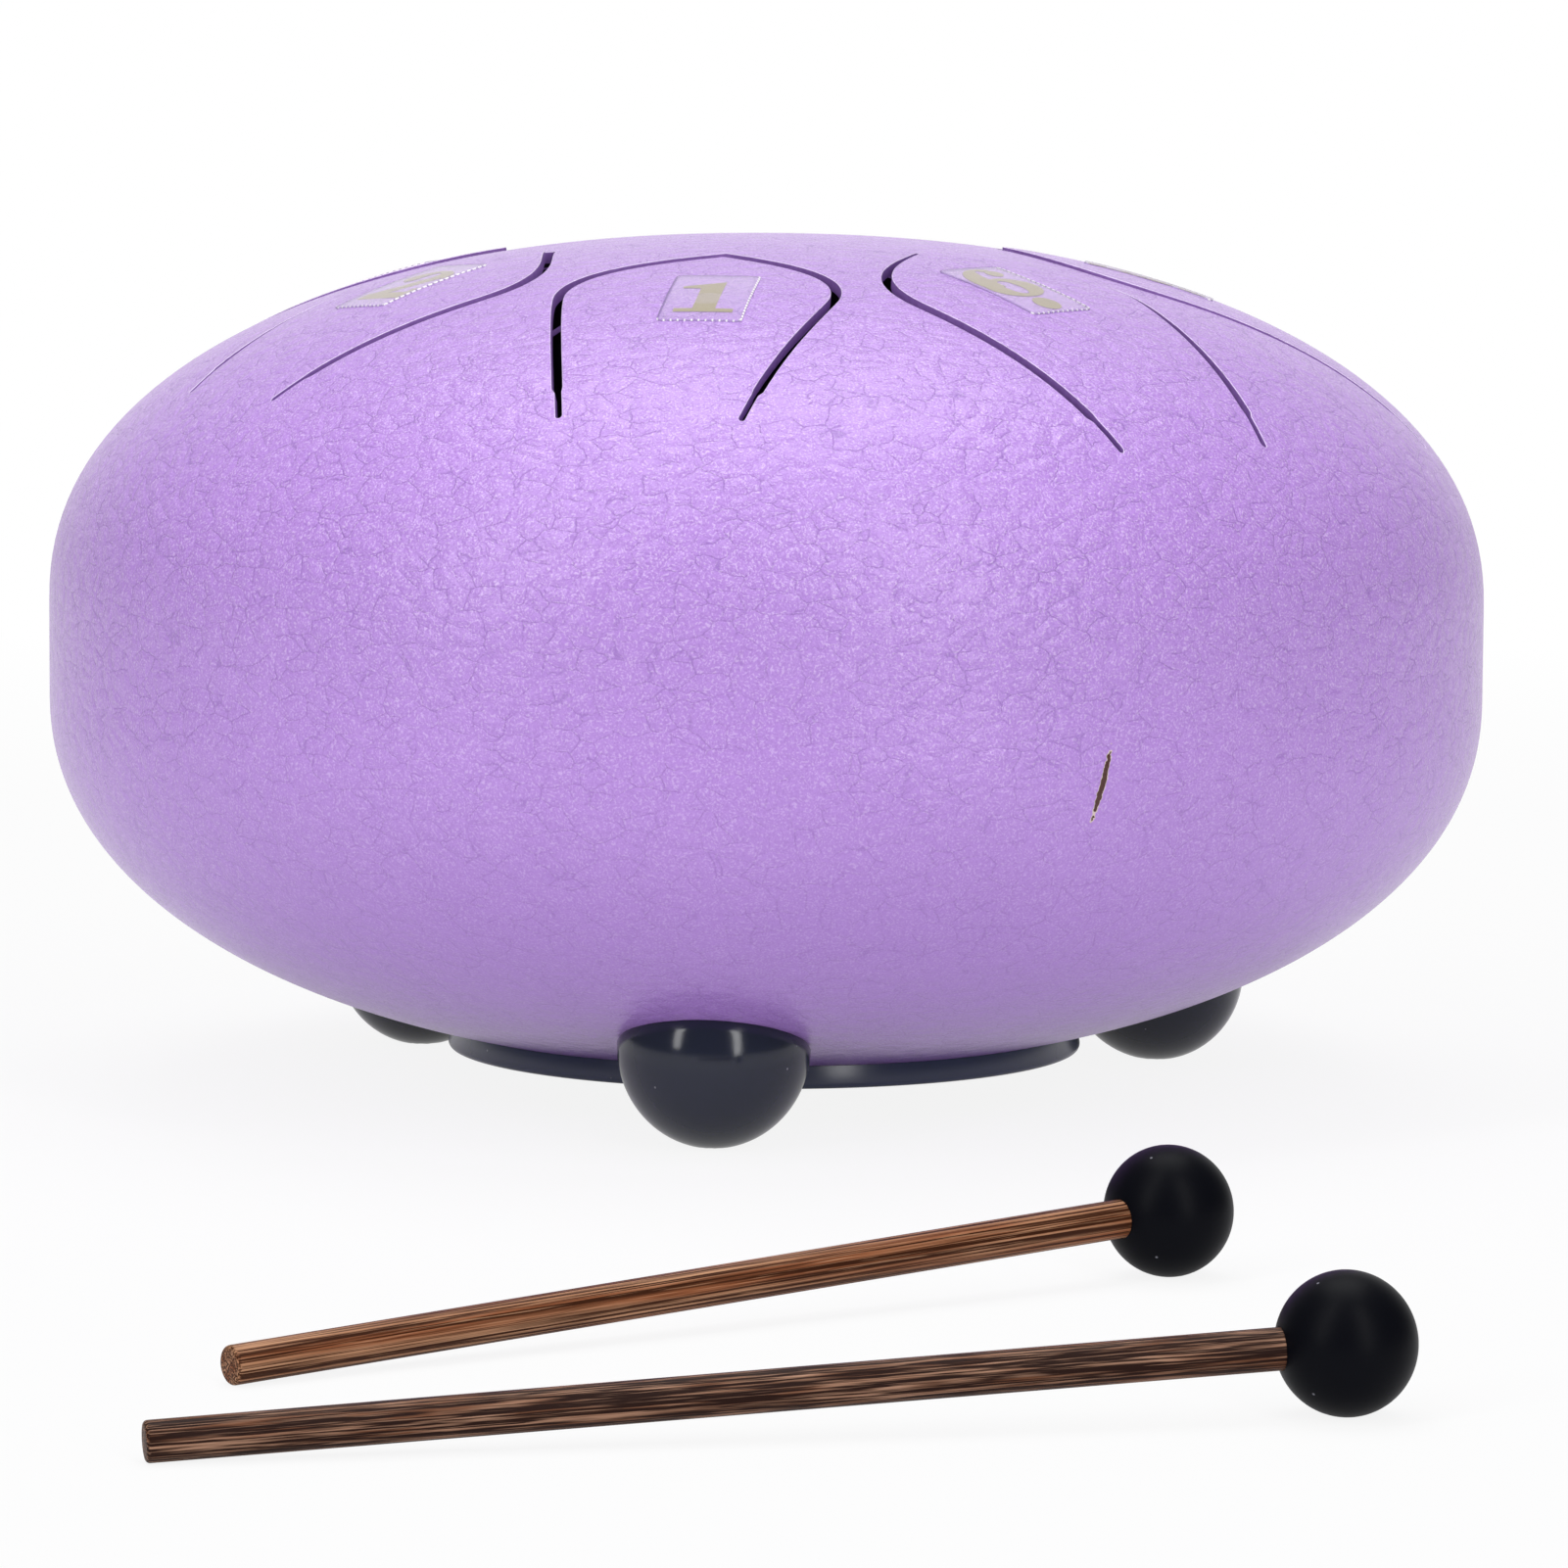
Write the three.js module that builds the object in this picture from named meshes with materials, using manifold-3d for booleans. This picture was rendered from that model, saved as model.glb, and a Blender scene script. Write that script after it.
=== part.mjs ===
// Small steel tongue drum on three rubber feet, with its pair of mallets laid out in front.
// Millimetres, +Z up. The drum's axis is Z, the table is Z = 0 and the player sits on the -Y side.
import * as THREE from 'three';
import { mergeVertices } from 'three/addons/utils/BufferGeometryUtils.js';
import Module from 'manifold-3d';

// Shell halves, pressed from one gauge of sheet steel
const bodyRadius = 76;
const sheetThickness = 1.2;
const domeRise = 38.8;
const domeFullness = 2.2; // exponent of the superellipse: 2 is an ellipse, more is squarer
const bandHeight = 9.6; // upright wall between dome and bowl
const bowlDepth = 38.8;
const bowlFullness = 2.15;
const lapHeight = 6; // how far the bowl's lip tucks up inside the dome's skirt
const joggleDepth = 3; // how far below its rim the bowl starts to draw in for the lip
const soundHoleRadius = 30.5;

// Tongues: petals with a narrow root near the rim and a pointed tip near the middle
const slotWidth = 1.05;
const slotEndWidth = 0.65; // the cutter leaves a finer slot for the last stretch at the root
const slotEndLength = 3.3;
const slotBridge = 7.3; // least web of sheet between the slots of two neighbours
const firstNoteLength = 38.2; // root to tip of the tongue numbered 1
const firstNoteAzimuth = -10.3; // degrees from the player's side, to the right
const lowSector = 48.8; // degrees of the ring for each of the four low tongues
const broadShare = 0.38; // distance from tip to broadest place, as a share of the length
const rootShare = 0.64; // width at the root as a share of the broadest width
const tipHalfAngle = 54; // degrees between the tongue's axis and its edge at the tip
const shoulderHandle = 7.3; // reach of the curve that rounds the shoulder
const tipHandle = 6.4; // reach of the curve that runs out to the tip
const flankHandle = 0.135; // how soon the straight flank starts, as a share of the way to the root

// Labels: clear film rectangles with a number
const labelWidth = 8.6;
const labelLength = 13.5;
const labelCorner = 0.6;
const labelThickness = 0.25;

const semitonesPerOctave = 12;

// Low to high, clockwise seen from above. Pitch is in semitones from the tongue numbered 1.
// The root is set in from the rim, and each label was stuck on by hand, a little off the middle.
const notes = [
  { name: 'low_5', pitch: -5, rootInset: 7.1, labelShift: 0.4, labelFromTip: 15.5, labelTurn: -2 },
  { name: 'low_6', pitch: -3, rootInset: 8.7, labelShift: -0.6, labelFromTip: 15.2, labelTurn: 6 },
  { name: '1', pitch: 0, rootInset: 12.1, labelShift: 1.6, labelFromTip: 16.4, labelTurn: 2 },
  { name: '2', pitch: 2, rootInset: 12.8, labelShift: -2, labelFromTip: 14.6, labelTurn: 8 },
  { name: '3', pitch: 4, rootInset: 13, labelShift: -0.5, labelFromTip: 14.2, labelTurn: -3 },
  { name: '5', pitch: 7, rootInset: 13.5, labelShift: 0.3, labelFromTip: 13.4, labelTurn: 2 },
  { name: '6', pitch: 9, rootInset: 14, labelShift: -0.3, labelFromTip: 12.8, labelTurn: 1 },
  { name: 'high_1', pitch: 12, rootInset: 14.7, labelShift: 0.5, labelFromTip: 12, labelTurn: -2 },
];
const lowNoteCount = 4;

// Rubber grommet round the sound hole
const grommetWall = 3.5; // rubber between the edge of the hole and the bore
const grommetFlange = 3.3; // reach of the flanges past the edge of the hole
const grommetLip = 1.5; // depth of the outer flange below the hole's edge
const grommetInnerLip = 1.8; // height of the inner flange
const grommetRounding = 0.6;

// Rubber feet on adhesive pads
const footCount = 3;
const footRadius = 9.75;
const footHeight = 9.2;
const footGap = 3.15; // between the grommet's flange and a foot
const firstFootAzimuth = -6.2;
const footFlatDepth = 0.3; // how far the tread is flattened where it stands
const padInset = 1.15; // how far a pad stays inside the edge of its foot
const padThickness = 0.5;

// Mallets: tapered wooden sticks in rubber balls
const malletLength = 103.2;
const stickButtRadius = 1.68;
const stickNeckRadius = 1.76;
const headRadius = 5.95;
const headHalfLength = 5.8; // along the stick, a little flatter than round
const headEndWall = 4.1; // rubber left between the socket's end and the crown of the ball
const malletRounding = 0.35;
const mallets = [
  { name: 'mallet_1', awayFromDrum: 46.4, headSide: 36.4, turn: 34.6 },
  { name: 'mallet_2', awayFromDrum: 112, headSide: 47, turn: 13 },
];

// Shared values
const clearance = 0.3; // gap kept between pieces that touch
const aroundSteps = 60;
const profileSteps = 9;
const curveSteps = 8;
const roundingSteps = 2;
const smallSteps = 24; // facets round a foot, a pad or a mallet
const cutMargin = 2; // how far cutting prisms run past the sheet

// Finishes
const finishes = {
  lacquer: { color: 0xb794e0, roughness: 0.5, metalness: 0.15 },
  film: { color: 0xcfc7a0, roughness: 0.2, metalness: 0 },
  rubber: { color: 0x33363f, roughness: 0.55, metalness: 0 },
  adhesive: { color: 0xd8d8d8, roughness: 0.8, metalness: 0 },
  redwood: { color: 0x8a5540, roughness: 0.6, metalness: 0 },
  darkWood: { color: 0x4a3a33, roughness: 0.6, metalness: 0 },
  matteRubber: { color: 0x1c1c1f, roughness: 0.75, metalness: 0 },
};

const wasm = await Module();
wasm.setup();

// A geometry as a solid that can be joined and cut
function solidOf(geometry) {
  const bare = geometry.clone();
  bare.deleteAttribute('normal');
  bare.deleteAttribute('uv');
  const merged = mergeVertices(bare, 1e-4);
  const index = merged.index.array;
  const triangles = [];
  for (let i = 0; i < index.length; i += 3) {
    const [a, b, c] = [index[i], index[i + 1], index[i + 2]];
    if (a !== b && b !== c && c !== a) triangles.push(a, b, c);
  }
  const mesh = new wasm.Mesh({
    numProp: 3,
    vertProperties: new Float32Array(merged.attributes.position.array),
    triVerts: new Uint32Array(triangles),
  });
  return new wasm.Manifold(mesh);
}

function geometryOf(solid) {
  const mesh = solid.getMesh();
  const geometry = new THREE.BufferGeometry();
  geometry.setAttribute('position', new THREE.BufferAttribute(mesh.vertProperties, 3));
  geometry.setIndex(new THREE.BufferAttribute(mesh.triVerts, 1));
  geometry.computeVertexNormals();
  return geometry;
}

function meshOf(name, geometry, finish) {
  const mesh = new THREE.Mesh(geometry, new THREE.MeshStandardMaterial(finish));
  mesh.name = name;
  return mesh;
}

// A profile of [radius, height] points turned round the drum's axis
function turned(points, steps = aroundSteps) {
  const profile = points.map(([radius, height]) => new THREE.Vector2(radius, height));
  return new THREE.LatheGeometry(profile, steps).rotateX(Math.PI / 2);
}

function radians(degrees) {
  return THREE.MathUtils.degToRad(degrees);
}

// Points of a quarter superellipse from angle first to angle last, 0 at the rim and a right angle on the axis
function quarterCurve(radius, rise, fullness, first, last) {
  const points = [];
  for (let i = 0; i <= profileSteps; i += 1) {
    const angle = first + ((last - first) * i) / profileSteps;
    const across = Math.max(Math.cos(angle), 0) ** (2 / fullness);
    const along = Math.sin(angle) ** (2 / fullness);
    points.push([radius * (angle === Math.PI / 2 ? 0 : across), rise * along]);
  }
  return points;
}

// Angle at which a quarter superellipse passes a radius or a rise
function angleAtRadius(radius, fullRadius, fullness) {
  return Math.acos((radius / fullRadius) ** (fullness / 2));
}
function angleAtRise(rise, fullRise, fullness) {
  return Math.asin((rise / fullRise) ** (fullness / 2));
}

// Depth of the bowl below its rim at a radius, on its outer face or a face set off from it
function bowlDepthAt(radius, offset = 0) {
  const share = (radius / (bodyRadius + offset)) ** bowlFullness;
  return (bowlDepth + offset) * (1 - share) ** (1 / bowlFullness);
}

// Where a foot's axis meets the bowl, and how far that axis leans out from straight down
const footCircleRadius = soundHoleRadius + grommetFlange + footGap + footRadius;
const footSeatDepth = bowlDepthAt(footCircleRadius);
const seatPullOut = (footCircleRadius / bodyRadius) ** (bowlFullness - 1) / bodyRadius;
const seatPullDown = (footSeatDepth / bowlDepth) ** (bowlFullness - 1) / bowlDepth;
const footLean = Math.atan2(seatPullOut, seatPullDown);
const footStandOff = padThickness + 2 * clearance;
const footReach = Math.hypot(footHeight * Math.cos(footLean), footRadius * Math.sin(footLean));
const bowlRimHeight = footSeatDepth + footStandOff * Math.cos(footLean) + footReach - footFlatDepth;
const seamHeight = bowlRimHeight + clearance;
const domeBase = seamHeight + bandHeight;

// A dome-shaped sheet between two offsets from the outer face, closed at its lower edge
function domeSheet(outerOffset, innerOffset, lowerEdge) {
  const quarter = Math.PI / 2;
  const inner = quarterCurve(bodyRadius + innerOffset, domeRise + innerOffset, domeFullness, quarter, 0);
  const outer = quarterCurve(bodyRadius + outerOffset, domeRise + outerOffset, domeFullness, 0, quarter);
  const lifted = (points) => points.map(([radius, height]) => [radius, height + domeBase]);
  const edge = [
    [bodyRadius + innerOffset, lowerEdge],
    [bodyRadius + outerOffset, lowerEdge],
  ];
  return turned([...lifted(inner), ...edge, ...lifted(outer)]);
}

// Ring layout: the low tongues share the player's side, and the high ones the rest
const highSector = (360 - lowNoteCount * lowSector) / (notes.length - lowNoteCount);
function sectorOf(index) {
  return index < lowNoteCount ? lowSector : highSector;
}
const firstNoteIndex = notes.findIndex((note) => note.pitch === 0);
function azimuthOf(index) {
  let azimuth = firstNoteAzimuth;
  for (let i = firstNoteIndex; i < index; i += 1) azimuth -= (sectorOf(i) + sectorOf(i + 1)) / 2;
  for (let i = firstNoteIndex; i > index; i -= 1) azimuth += (sectorOf(i) + sectorOf(i - 1)) / 2;
  return azimuth;
}

// A bending strip's pitch falls with the square of its length
function tongueSizes(note, index) {
  const length = firstNoteLength * 2 ** (-note.pitch / (2 * semitonesPerOctave));
  const root = bodyRadius - note.rootInset;
  const tip = root - length;
  const broadest = tip + broadShare * length;
  const halfSector = radians(sectorOf(index) / 2);
  const halfWidth = broadest * Math.tan(halfSector) - slotBridge / 2 - slotWidth;
  const scale = length / firstNoteLength;
  return { root, tip, broadest, halfWidth, scale, azimuth: azimuthOf(index) };
}

// One edge of a petal from root to tip, as points across and out from the drum's axis
function petalEdge(size) {
  const { root, tip, broadest, halfWidth, scale } = size;
  const lean = radians(tipHalfAngle);
  const point = (across, out) => new THREE.Vector2(across, out);
  const flank = new THREE.QuadraticBezierCurve(
    point(halfWidth * rootShare, root),
    point(halfWidth, broadest + (root - broadest) * flankHandle),
    point(halfWidth, broadest),
  );
  const shoulder = new THREE.CubicBezierCurve(
    point(halfWidth, broadest),
    point(halfWidth, broadest - shoulderHandle * scale),
    point(tipHandle * scale * Math.sin(lean), tip + tipHandle * scale * Math.cos(lean)),
    point(0, tip),
  );
  return [...flank.getSpacedPoints(curveSteps).slice(0, -1), ...shoulder.getPoints(curveSteps)];
}

// The far edge of the slot beside a petal's edge, finer over its last stretch at the root
function slotEdge(edge, size) {
  const points = edge.slice(0, -1).map((point, i) => {
    const before = edge[Math.max(i - 1, 0)];
    const along = edge[i + 1].clone().sub(before).normalize();
    const fromRoot = size.root - point.y;
    const width = fromRoot < slotEndLength ? slotEndWidth : slotWidth;
    return new THREE.Vector2(point.x - along.y * width, point.y + along.x * width);
  });
  points[0].y = size.root + clearance;
  points.push(new THREE.Vector2(0, size.tip - slotWidth / Math.sin(radians(tipHalfAngle))));
  return points;
}

// An upright prism through the dome on the outline that an edge and its mirror image make
function petalPrism(edge, azimuth) {
  const mirrored = edge.slice(0, -1).reverse().map((point) => new THREE.Vector2(-point.x, point.y));
  const outline = [...edge, ...mirrored].map((point) => new THREE.Vector2(point.x, -point.y));
  return prismOf(outline, azimuth);
}

function prismOf(outline, azimuth) {
  const depth = bandHeight + domeRise + 2 * cutMargin;
  const prism = new THREE.ExtrudeGeometry(new THREE.Shape(outline), { depth, bevelEnabled: false });
  return prism.rotateZ(radians(azimuth)).translate(0, 0, seamHeight - cutMargin);
}

// A label's outline: a rectangle with its corners cut off, turned and shifted on its tongue
function labelOutline(note, size) {
  const [halfWidth, halfLength] = [labelWidth / 2, labelLength / 2];
  const [shortWidth, shortLength] = [halfWidth - labelCorner, halfLength - labelCorner];
  const corners = [
    [shortWidth, -halfLength], [halfWidth, -shortLength],
    [halfWidth, shortLength], [shortWidth, halfLength],
    [-shortWidth, halfLength], [-halfWidth, shortLength],
    [-halfWidth, -shortLength], [-shortWidth, -halfLength],
  ];
  const centre = new THREE.Vector2(note.labelShift, -(size.tip + note.labelFromTip));
  const middle = new THREE.Vector2();
  const turn = radians(note.labelTurn);
  return corners.map(([x, y]) => new THREE.Vector2(x, y).rotateAround(middle, turn).add(centre));
}

// Top shell, tongues and labels, all cut from dome-shaped sheets
function makeDome() {
  const group = new THREE.Group();
  const sheet = solidOf(domeSheet(0, -sheetThickness, seamHeight));
  const filmFace = clearance + labelThickness;
  const film = solidOf(domeSheet(filmFace, clearance, domeBase));
  let shell = sheet;
  notes.forEach((note, index) => {
    const size = tongueSizes(note, index);
    const edge = petalEdge(size);
    const tongue = sheet.intersect(solidOf(petalPrism(edge, size.azimuth)));
    const label = film.intersect(solidOf(prismOf(labelOutline(note, size), size.azimuth)));
    shell = shell.subtract(solidOf(petalPrism(slotEdge(edge, size), size.azimuth)));
    group.add(meshOf(`tongue_${note.name}`, geometryOf(tongue), finishes.lacquer));
    group.add(meshOf(`label_${note.name}`, geometryOf(label), finishes.film));
  });
  group.add(meshOf('top_shell', geometryOf(shell), finishes.lacquer));
  return group;
}

// Bottom shell: bowl with a sound hole, and a joggled lip that the dome's skirt slips over
function makeBowl() {
  const innerRadius = bodyRadius - sheetThickness;
  const innerDepth = bowlDepth - sheetThickness;
  const lipOuter = innerRadius - clearance;
  const lipInner = lipOuter - sheetThickness;
  const hung = (points) => points.map(([radius, depth]) => [radius, bowlRimHeight - depth]);
  const outerHole = angleAtRadius(soundHoleRadius, bodyRadius, bowlFullness);
  const innerHole = angleAtRadius(soundHoleRadius, innerRadius, bowlFullness);
  const innerStart = angleAtRise(joggleDepth, innerDepth, bowlFullness);
  const outer = hung(quarterCurve(bodyRadius, bowlDepth, bowlFullness, outerHole, 0));
  const inner = hung(quarterCurve(innerRadius, innerDepth, bowlFullness, innerStart, innerHole));
  const lip = [
    [lipOuter, bowlRimHeight],
    [lipOuter, bowlRimHeight + lapHeight],
    [lipInner, bowlRimHeight + lapHeight],
    [lipInner, bowlRimHeight - sheetThickness],
  ];
  return meshOf('bottom_shell', turned([...outer, ...lip, ...inner, outer[0]]), finishes.lacquer);
}

// Grommet: a rubber ring with a groove for the edge of the sound hole
function makeGrommet() {
  const bore = soundHoleRadius - grommetWall;
  const web = soundHoleRadius - clearance;
  const flange = soundHoleRadius + grommetFlange;
  const below = (radius) => bowlRimHeight - bowlDepthAt(radius) - clearance;
  const above = (radius) => bowlRimHeight - bowlDepthAt(radius, -sheetThickness) + clearance;
  const bottom = below(web) - grommetLip;
  const top = above(flange) + grommetInnerLip;
  const soft = grommetRounding;
  const outline = new THREE.Path();
  outline.moveTo(bore, top - soft);
  outline.lineTo(bore, bottom + soft);
  outline.quadraticCurveTo(bore, bottom, bore + soft, bottom);
  outline.lineTo(flange - soft, bottom);
  outline.quadraticCurveTo(flange, bottom, flange, bottom + soft);
  outline.lineTo(flange, below(flange));
  outline.lineTo(web, below(web));
  outline.lineTo(web, above(web));
  outline.lineTo(flange, above(flange));
  outline.lineTo(flange, top - soft);
  outline.quadraticCurveTo(flange, top, flange - soft, top);
  outline.lineTo(bore + soft, top);
  outline.quadraticCurveTo(bore, top, bore, top - soft);
  const points = outline.getPoints(roundingSteps).map((point) => [point.x, point.y]);
  return meshOf('sound_hole_grommet', turned(points), finishes.rubber);
}

// Feet and their pads, square to the bowl, with treads flattened where they stand
function makeFeet() {
  const group = new THREE.Group();
  const sides = ['front', 'right', 'left'];
  const tread = quarterCurve(footRadius, footHeight, 2, 0, Math.PI / 2);
  const footProfile = [[0, 0], ...tread].map(([radius, rise]) => [radius, -rise]).reverse();
  const footGeometry = turned(footProfile, smallSteps);
  const padRadius = footRadius - padInset;
  const padBlank = padThickness + footRadius; // long enough to run into the bowl all round
  const padGeometry = new THREE.CylinderGeometry(padRadius, padRadius, padBlank, smallSteps);
  padGeometry.rotateX(Math.PI / 2).translate(0, 0, padBlank / 2 - padThickness - clearance);
  const bowlFace = quarterCurve(bodyRadius + clearance, bowlDepth + clearance, bowlFullness, Math.PI / 2, 0);
  const bowlPoints = bowlFace.map(([radius, depth]) => [radius, bowlRimHeight - depth]);
  const bowlSpace = solidOf(turned([...bowlPoints, [0, bowlRimHeight]]));
  const tableSize = 4 * bodyRadius;
  const table = new THREE.BoxGeometry(tableSize, tableSize, tableSize).translate(0, 0, -tableSize / 2);
  const tableSolid = solidOf(table);
  for (let i = 0; i < footCount; i += 1) {
    const azimuth = radians(firstFootAzimuth + (360 / footCount) * i);
    const seat = new THREE.Vector3(0, -footCircleRadius, bowlRimHeight - footSeatDepth);
    const placing = new THREE.Matrix4().makeRotationZ(azimuth);
    placing.multiply(new THREE.Matrix4().makeTranslation(seat));
    placing.multiply(new THREE.Matrix4().makeRotationX(-footLean));
    const standOff = new THREE.Matrix4().makeTranslation(0, 0, -footStandOff);
    const foot = solidOf(footGeometry.clone().applyMatrix4(placing.clone().multiply(standOff)));
    const pad = solidOf(padGeometry.clone().applyMatrix4(placing));
    group.add(meshOf(`foot_${sides[i]}`, geometryOf(foot.subtract(tableSolid)), finishes.rubber));
    group.add(meshOf(`foot_pad_${sides[i]}`, geometryOf(pad.subtract(bowlSpace)), finishes.adhesive));
  }
  return group;
}

// Mallets: the stick points along +X from its butt, and leans up to the middle of its ball
function makeMallet(place, woodFinish) {
  const headCentre = malletLength - headHalfLength;
  const socketBottom = headCentre + headHalfLength - headEndWall;
  const stickEnd = socketBottom - clearance;
  const soft = malletRounding;
  const stickPoints = [
    [0, 0], [stickButtRadius - soft, 0], [stickButtRadius, soft],
    [stickNeckRadius, stickEnd - soft], [stickNeckRadius - soft, stickEnd], [0, stickEnd],
  ];
  const socketRadius = stickNeckRadius + clearance;
  const ball = [];
  const mouthAngle = Math.asin(socketRadius / headRadius);
  for (let i = 0; i <= profileSteps; i += 1) {
    const angle = mouthAngle + ((Math.PI - mouthAngle) * i) / profileSteps;
    const radius = i === profileSteps ? 0 : headRadius * Math.sin(angle);
    ball.push([radius, headCentre - headHalfLength * Math.cos(angle)]);
  }
  const headPoints = [[0, socketBottom], [socketRadius, socketBottom], ...ball];
  const lying = new THREE.Group();
  const stick = turned(stickPoints, smallSteps).rotateY(Math.PI / 2);
  const head = turned(headPoints, smallSteps).rotateY(Math.PI / 2);
  lying.add(meshOf(`${place.name}_stick`, stick, woodFinish));
  lying.add(meshOf(`${place.name}_head`, head, finishes.matteRubber));
  const slant = Math.hypot(headCentre, stickButtRadius);
  const rise = Math.asin(headRadius / slant) - Math.atan2(stickButtRadius, headCentre);
  lying.rotation.set(0, -rise, radians(place.turn), 'ZYX');
  const run = new THREE.Vector3(headCentre, 0, 0).applyEuler(lying.rotation);
  const headPlace = new THREE.Vector3(place.headSide, -(bodyRadius + place.awayFromDrum), headRadius);
  lying.position.copy(headPlace.sub(run));
  return lying;
}

const drum = new THREE.Group();
drum.add(makeDome(), makeBowl(), makeGrommet(), makeFeet());
drum.add(makeMallet(mallets[0], finishes.redwood), makeMallet(mallets[1], finishes.darkWood));

export default drum;
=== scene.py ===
"""Looks of a small steel tongue drum and its two mallets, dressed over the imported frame.

Lengths are millimetres until a mesh is made. Azimuths are degrees from the player's side, to the right.
"""

import logging
import math
from dataclasses import dataclass, field
from enum import Enum, IntEnum

import bpy
import numpy as np
from mathutils import Matrix, Vector
from mathutils.geometry import delaunay_2d_cdt


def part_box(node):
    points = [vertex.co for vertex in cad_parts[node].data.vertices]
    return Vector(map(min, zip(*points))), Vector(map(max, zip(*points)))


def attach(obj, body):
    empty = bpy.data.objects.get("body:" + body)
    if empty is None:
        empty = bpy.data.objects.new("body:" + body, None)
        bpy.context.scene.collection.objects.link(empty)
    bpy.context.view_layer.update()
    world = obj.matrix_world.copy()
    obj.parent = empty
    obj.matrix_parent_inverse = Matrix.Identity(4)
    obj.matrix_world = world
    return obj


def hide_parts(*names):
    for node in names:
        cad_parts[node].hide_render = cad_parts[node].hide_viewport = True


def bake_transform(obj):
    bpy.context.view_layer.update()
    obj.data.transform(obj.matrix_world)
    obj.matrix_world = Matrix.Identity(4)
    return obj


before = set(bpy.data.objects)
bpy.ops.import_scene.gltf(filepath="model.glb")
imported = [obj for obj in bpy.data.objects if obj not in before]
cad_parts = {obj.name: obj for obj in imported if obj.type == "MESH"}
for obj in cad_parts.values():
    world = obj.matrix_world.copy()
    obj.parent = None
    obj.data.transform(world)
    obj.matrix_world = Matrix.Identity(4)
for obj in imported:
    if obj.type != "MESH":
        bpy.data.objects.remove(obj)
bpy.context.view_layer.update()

log = logging.getLogger("tongue_drum")

MM = 0.001
IMAGE_SIDE = 1601
TINY = 1e-9

# Distances under which the triangulation joins points of an outline, and of a digit's strokes
OUTLINE_MERGE = 1e-6
STROKE_MERGE = 1e-4

# Sockets of Blender's Mix node when it mixes colours
MIX_A, MIX_B, MIX_RESULT = 6, 7, 2


# Colours and nodes
def linear(colour: str) -> tuple[float, float, float, float]:
    """Turns an sRGB hex colour into linear red, green, blue and alpha."""
    shares = [int(colour[i:i + 2], 16) / 255 for i in (1, 3, 5)]
    return (*(s / 12.92 if s <= 0.04045 else ((s + 0.055) / 1.055) ** 2.4 for s in shares), 1.0)


def per_metre(size: float) -> float:
    """Texture scale at which a pattern repeats about every size millimetres."""
    return 1 / (size * MM)


def fill_sockets(tree: bpy.types.NodeTree, node: bpy.types.Node, inputs: dict) -> None:
    """Sets or links the input sockets of a node.

    Args:
        tree: the material's or world's node tree.
        node: the node.
        inputs: a value, or an output to link from, for each input socket by name or number.
    """
    for socket, value in inputs.items():
        if isinstance(value, bpy.types.NodeSocket):
            tree.links.new(value, node.inputs[socket])
        else:
            node.inputs[socket].default_value = value


def add_node(tree: bpy.types.NodeTree, kind: str, inputs: dict | None = None, **settings) -> bpy.types.Node:
    """Adds a node to a tree.

    Args:
        tree: the material's or world's node tree.
        kind: Blender's name of the node type.
        inputs: a value, or an output to link from, for each input socket by name or number.
        settings: the node's own properties.

    Returns:
        The node.
    """
    node = tree.nodes.new(kind)
    for name, value in settings.items():
        setattr(node, name, value)
    fill_sockets(tree, node, inputs or {})
    return node


def layered(tree: bpy.types.NodeTree, ground: str,
            layers: list[tuple[bpy.types.NodeSocket, str]]) -> bpy.types.NodeSocket:
    """Lays colours over a ground colour, one after another.

    Args:
        tree: the material's node tree.
        ground: the lowest colour.
        layers: how much of a colour covers what is under it, and that colour.

    Returns:
        The colour that is seen.
    """
    colour = linear(ground)
    for share, over in layers:
        colour = add_node(tree, "ShaderNodeMix", {
            0: share, MIX_A: colour, MIX_B: linear(over)}, data_type="RGBA").outputs[MIX_RESULT]
    return colour


def mirrored_rays(tree: bpy.types.NodeTree) -> bpy.types.NodeSocket:
    """Adds an output that is 1 for what is mirrored, or seen through something clear."""
    path = add_node(tree, "ShaderNodeLightPath").outputs
    return add_node(tree, "ShaderNodeMath", {
        0: path["Is Glossy Ray"], 1: path["Is Transmission Ray"]}, operation="MAXIMUM").outputs[0]


# Finishes
@dataclass(frozen=True)
class Finish:
    """A surface finish that turns itself into a material."""

    name: str

    def make(self) -> bpy.types.Material:
        """Makes the material.

        Returns:
            The material, with its shader dressed.
        """
        material = bpy.data.materials.new(self.name)
        material.use_nodes = True
        tree = material.node_tree
        place = add_node(tree, "ShaderNodeTexCoord").outputs["Object"]
        fill_sockets(tree, tree.nodes["Principled BSDF"], self.dress(tree, place))
        return material

    def dress(self, tree: bpy.types.NodeTree, place: bpy.types.NodeSocket) -> dict:
        """Says what the shader's sockets get; each finish has its own way."""
        raise NotImplementedError


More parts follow.
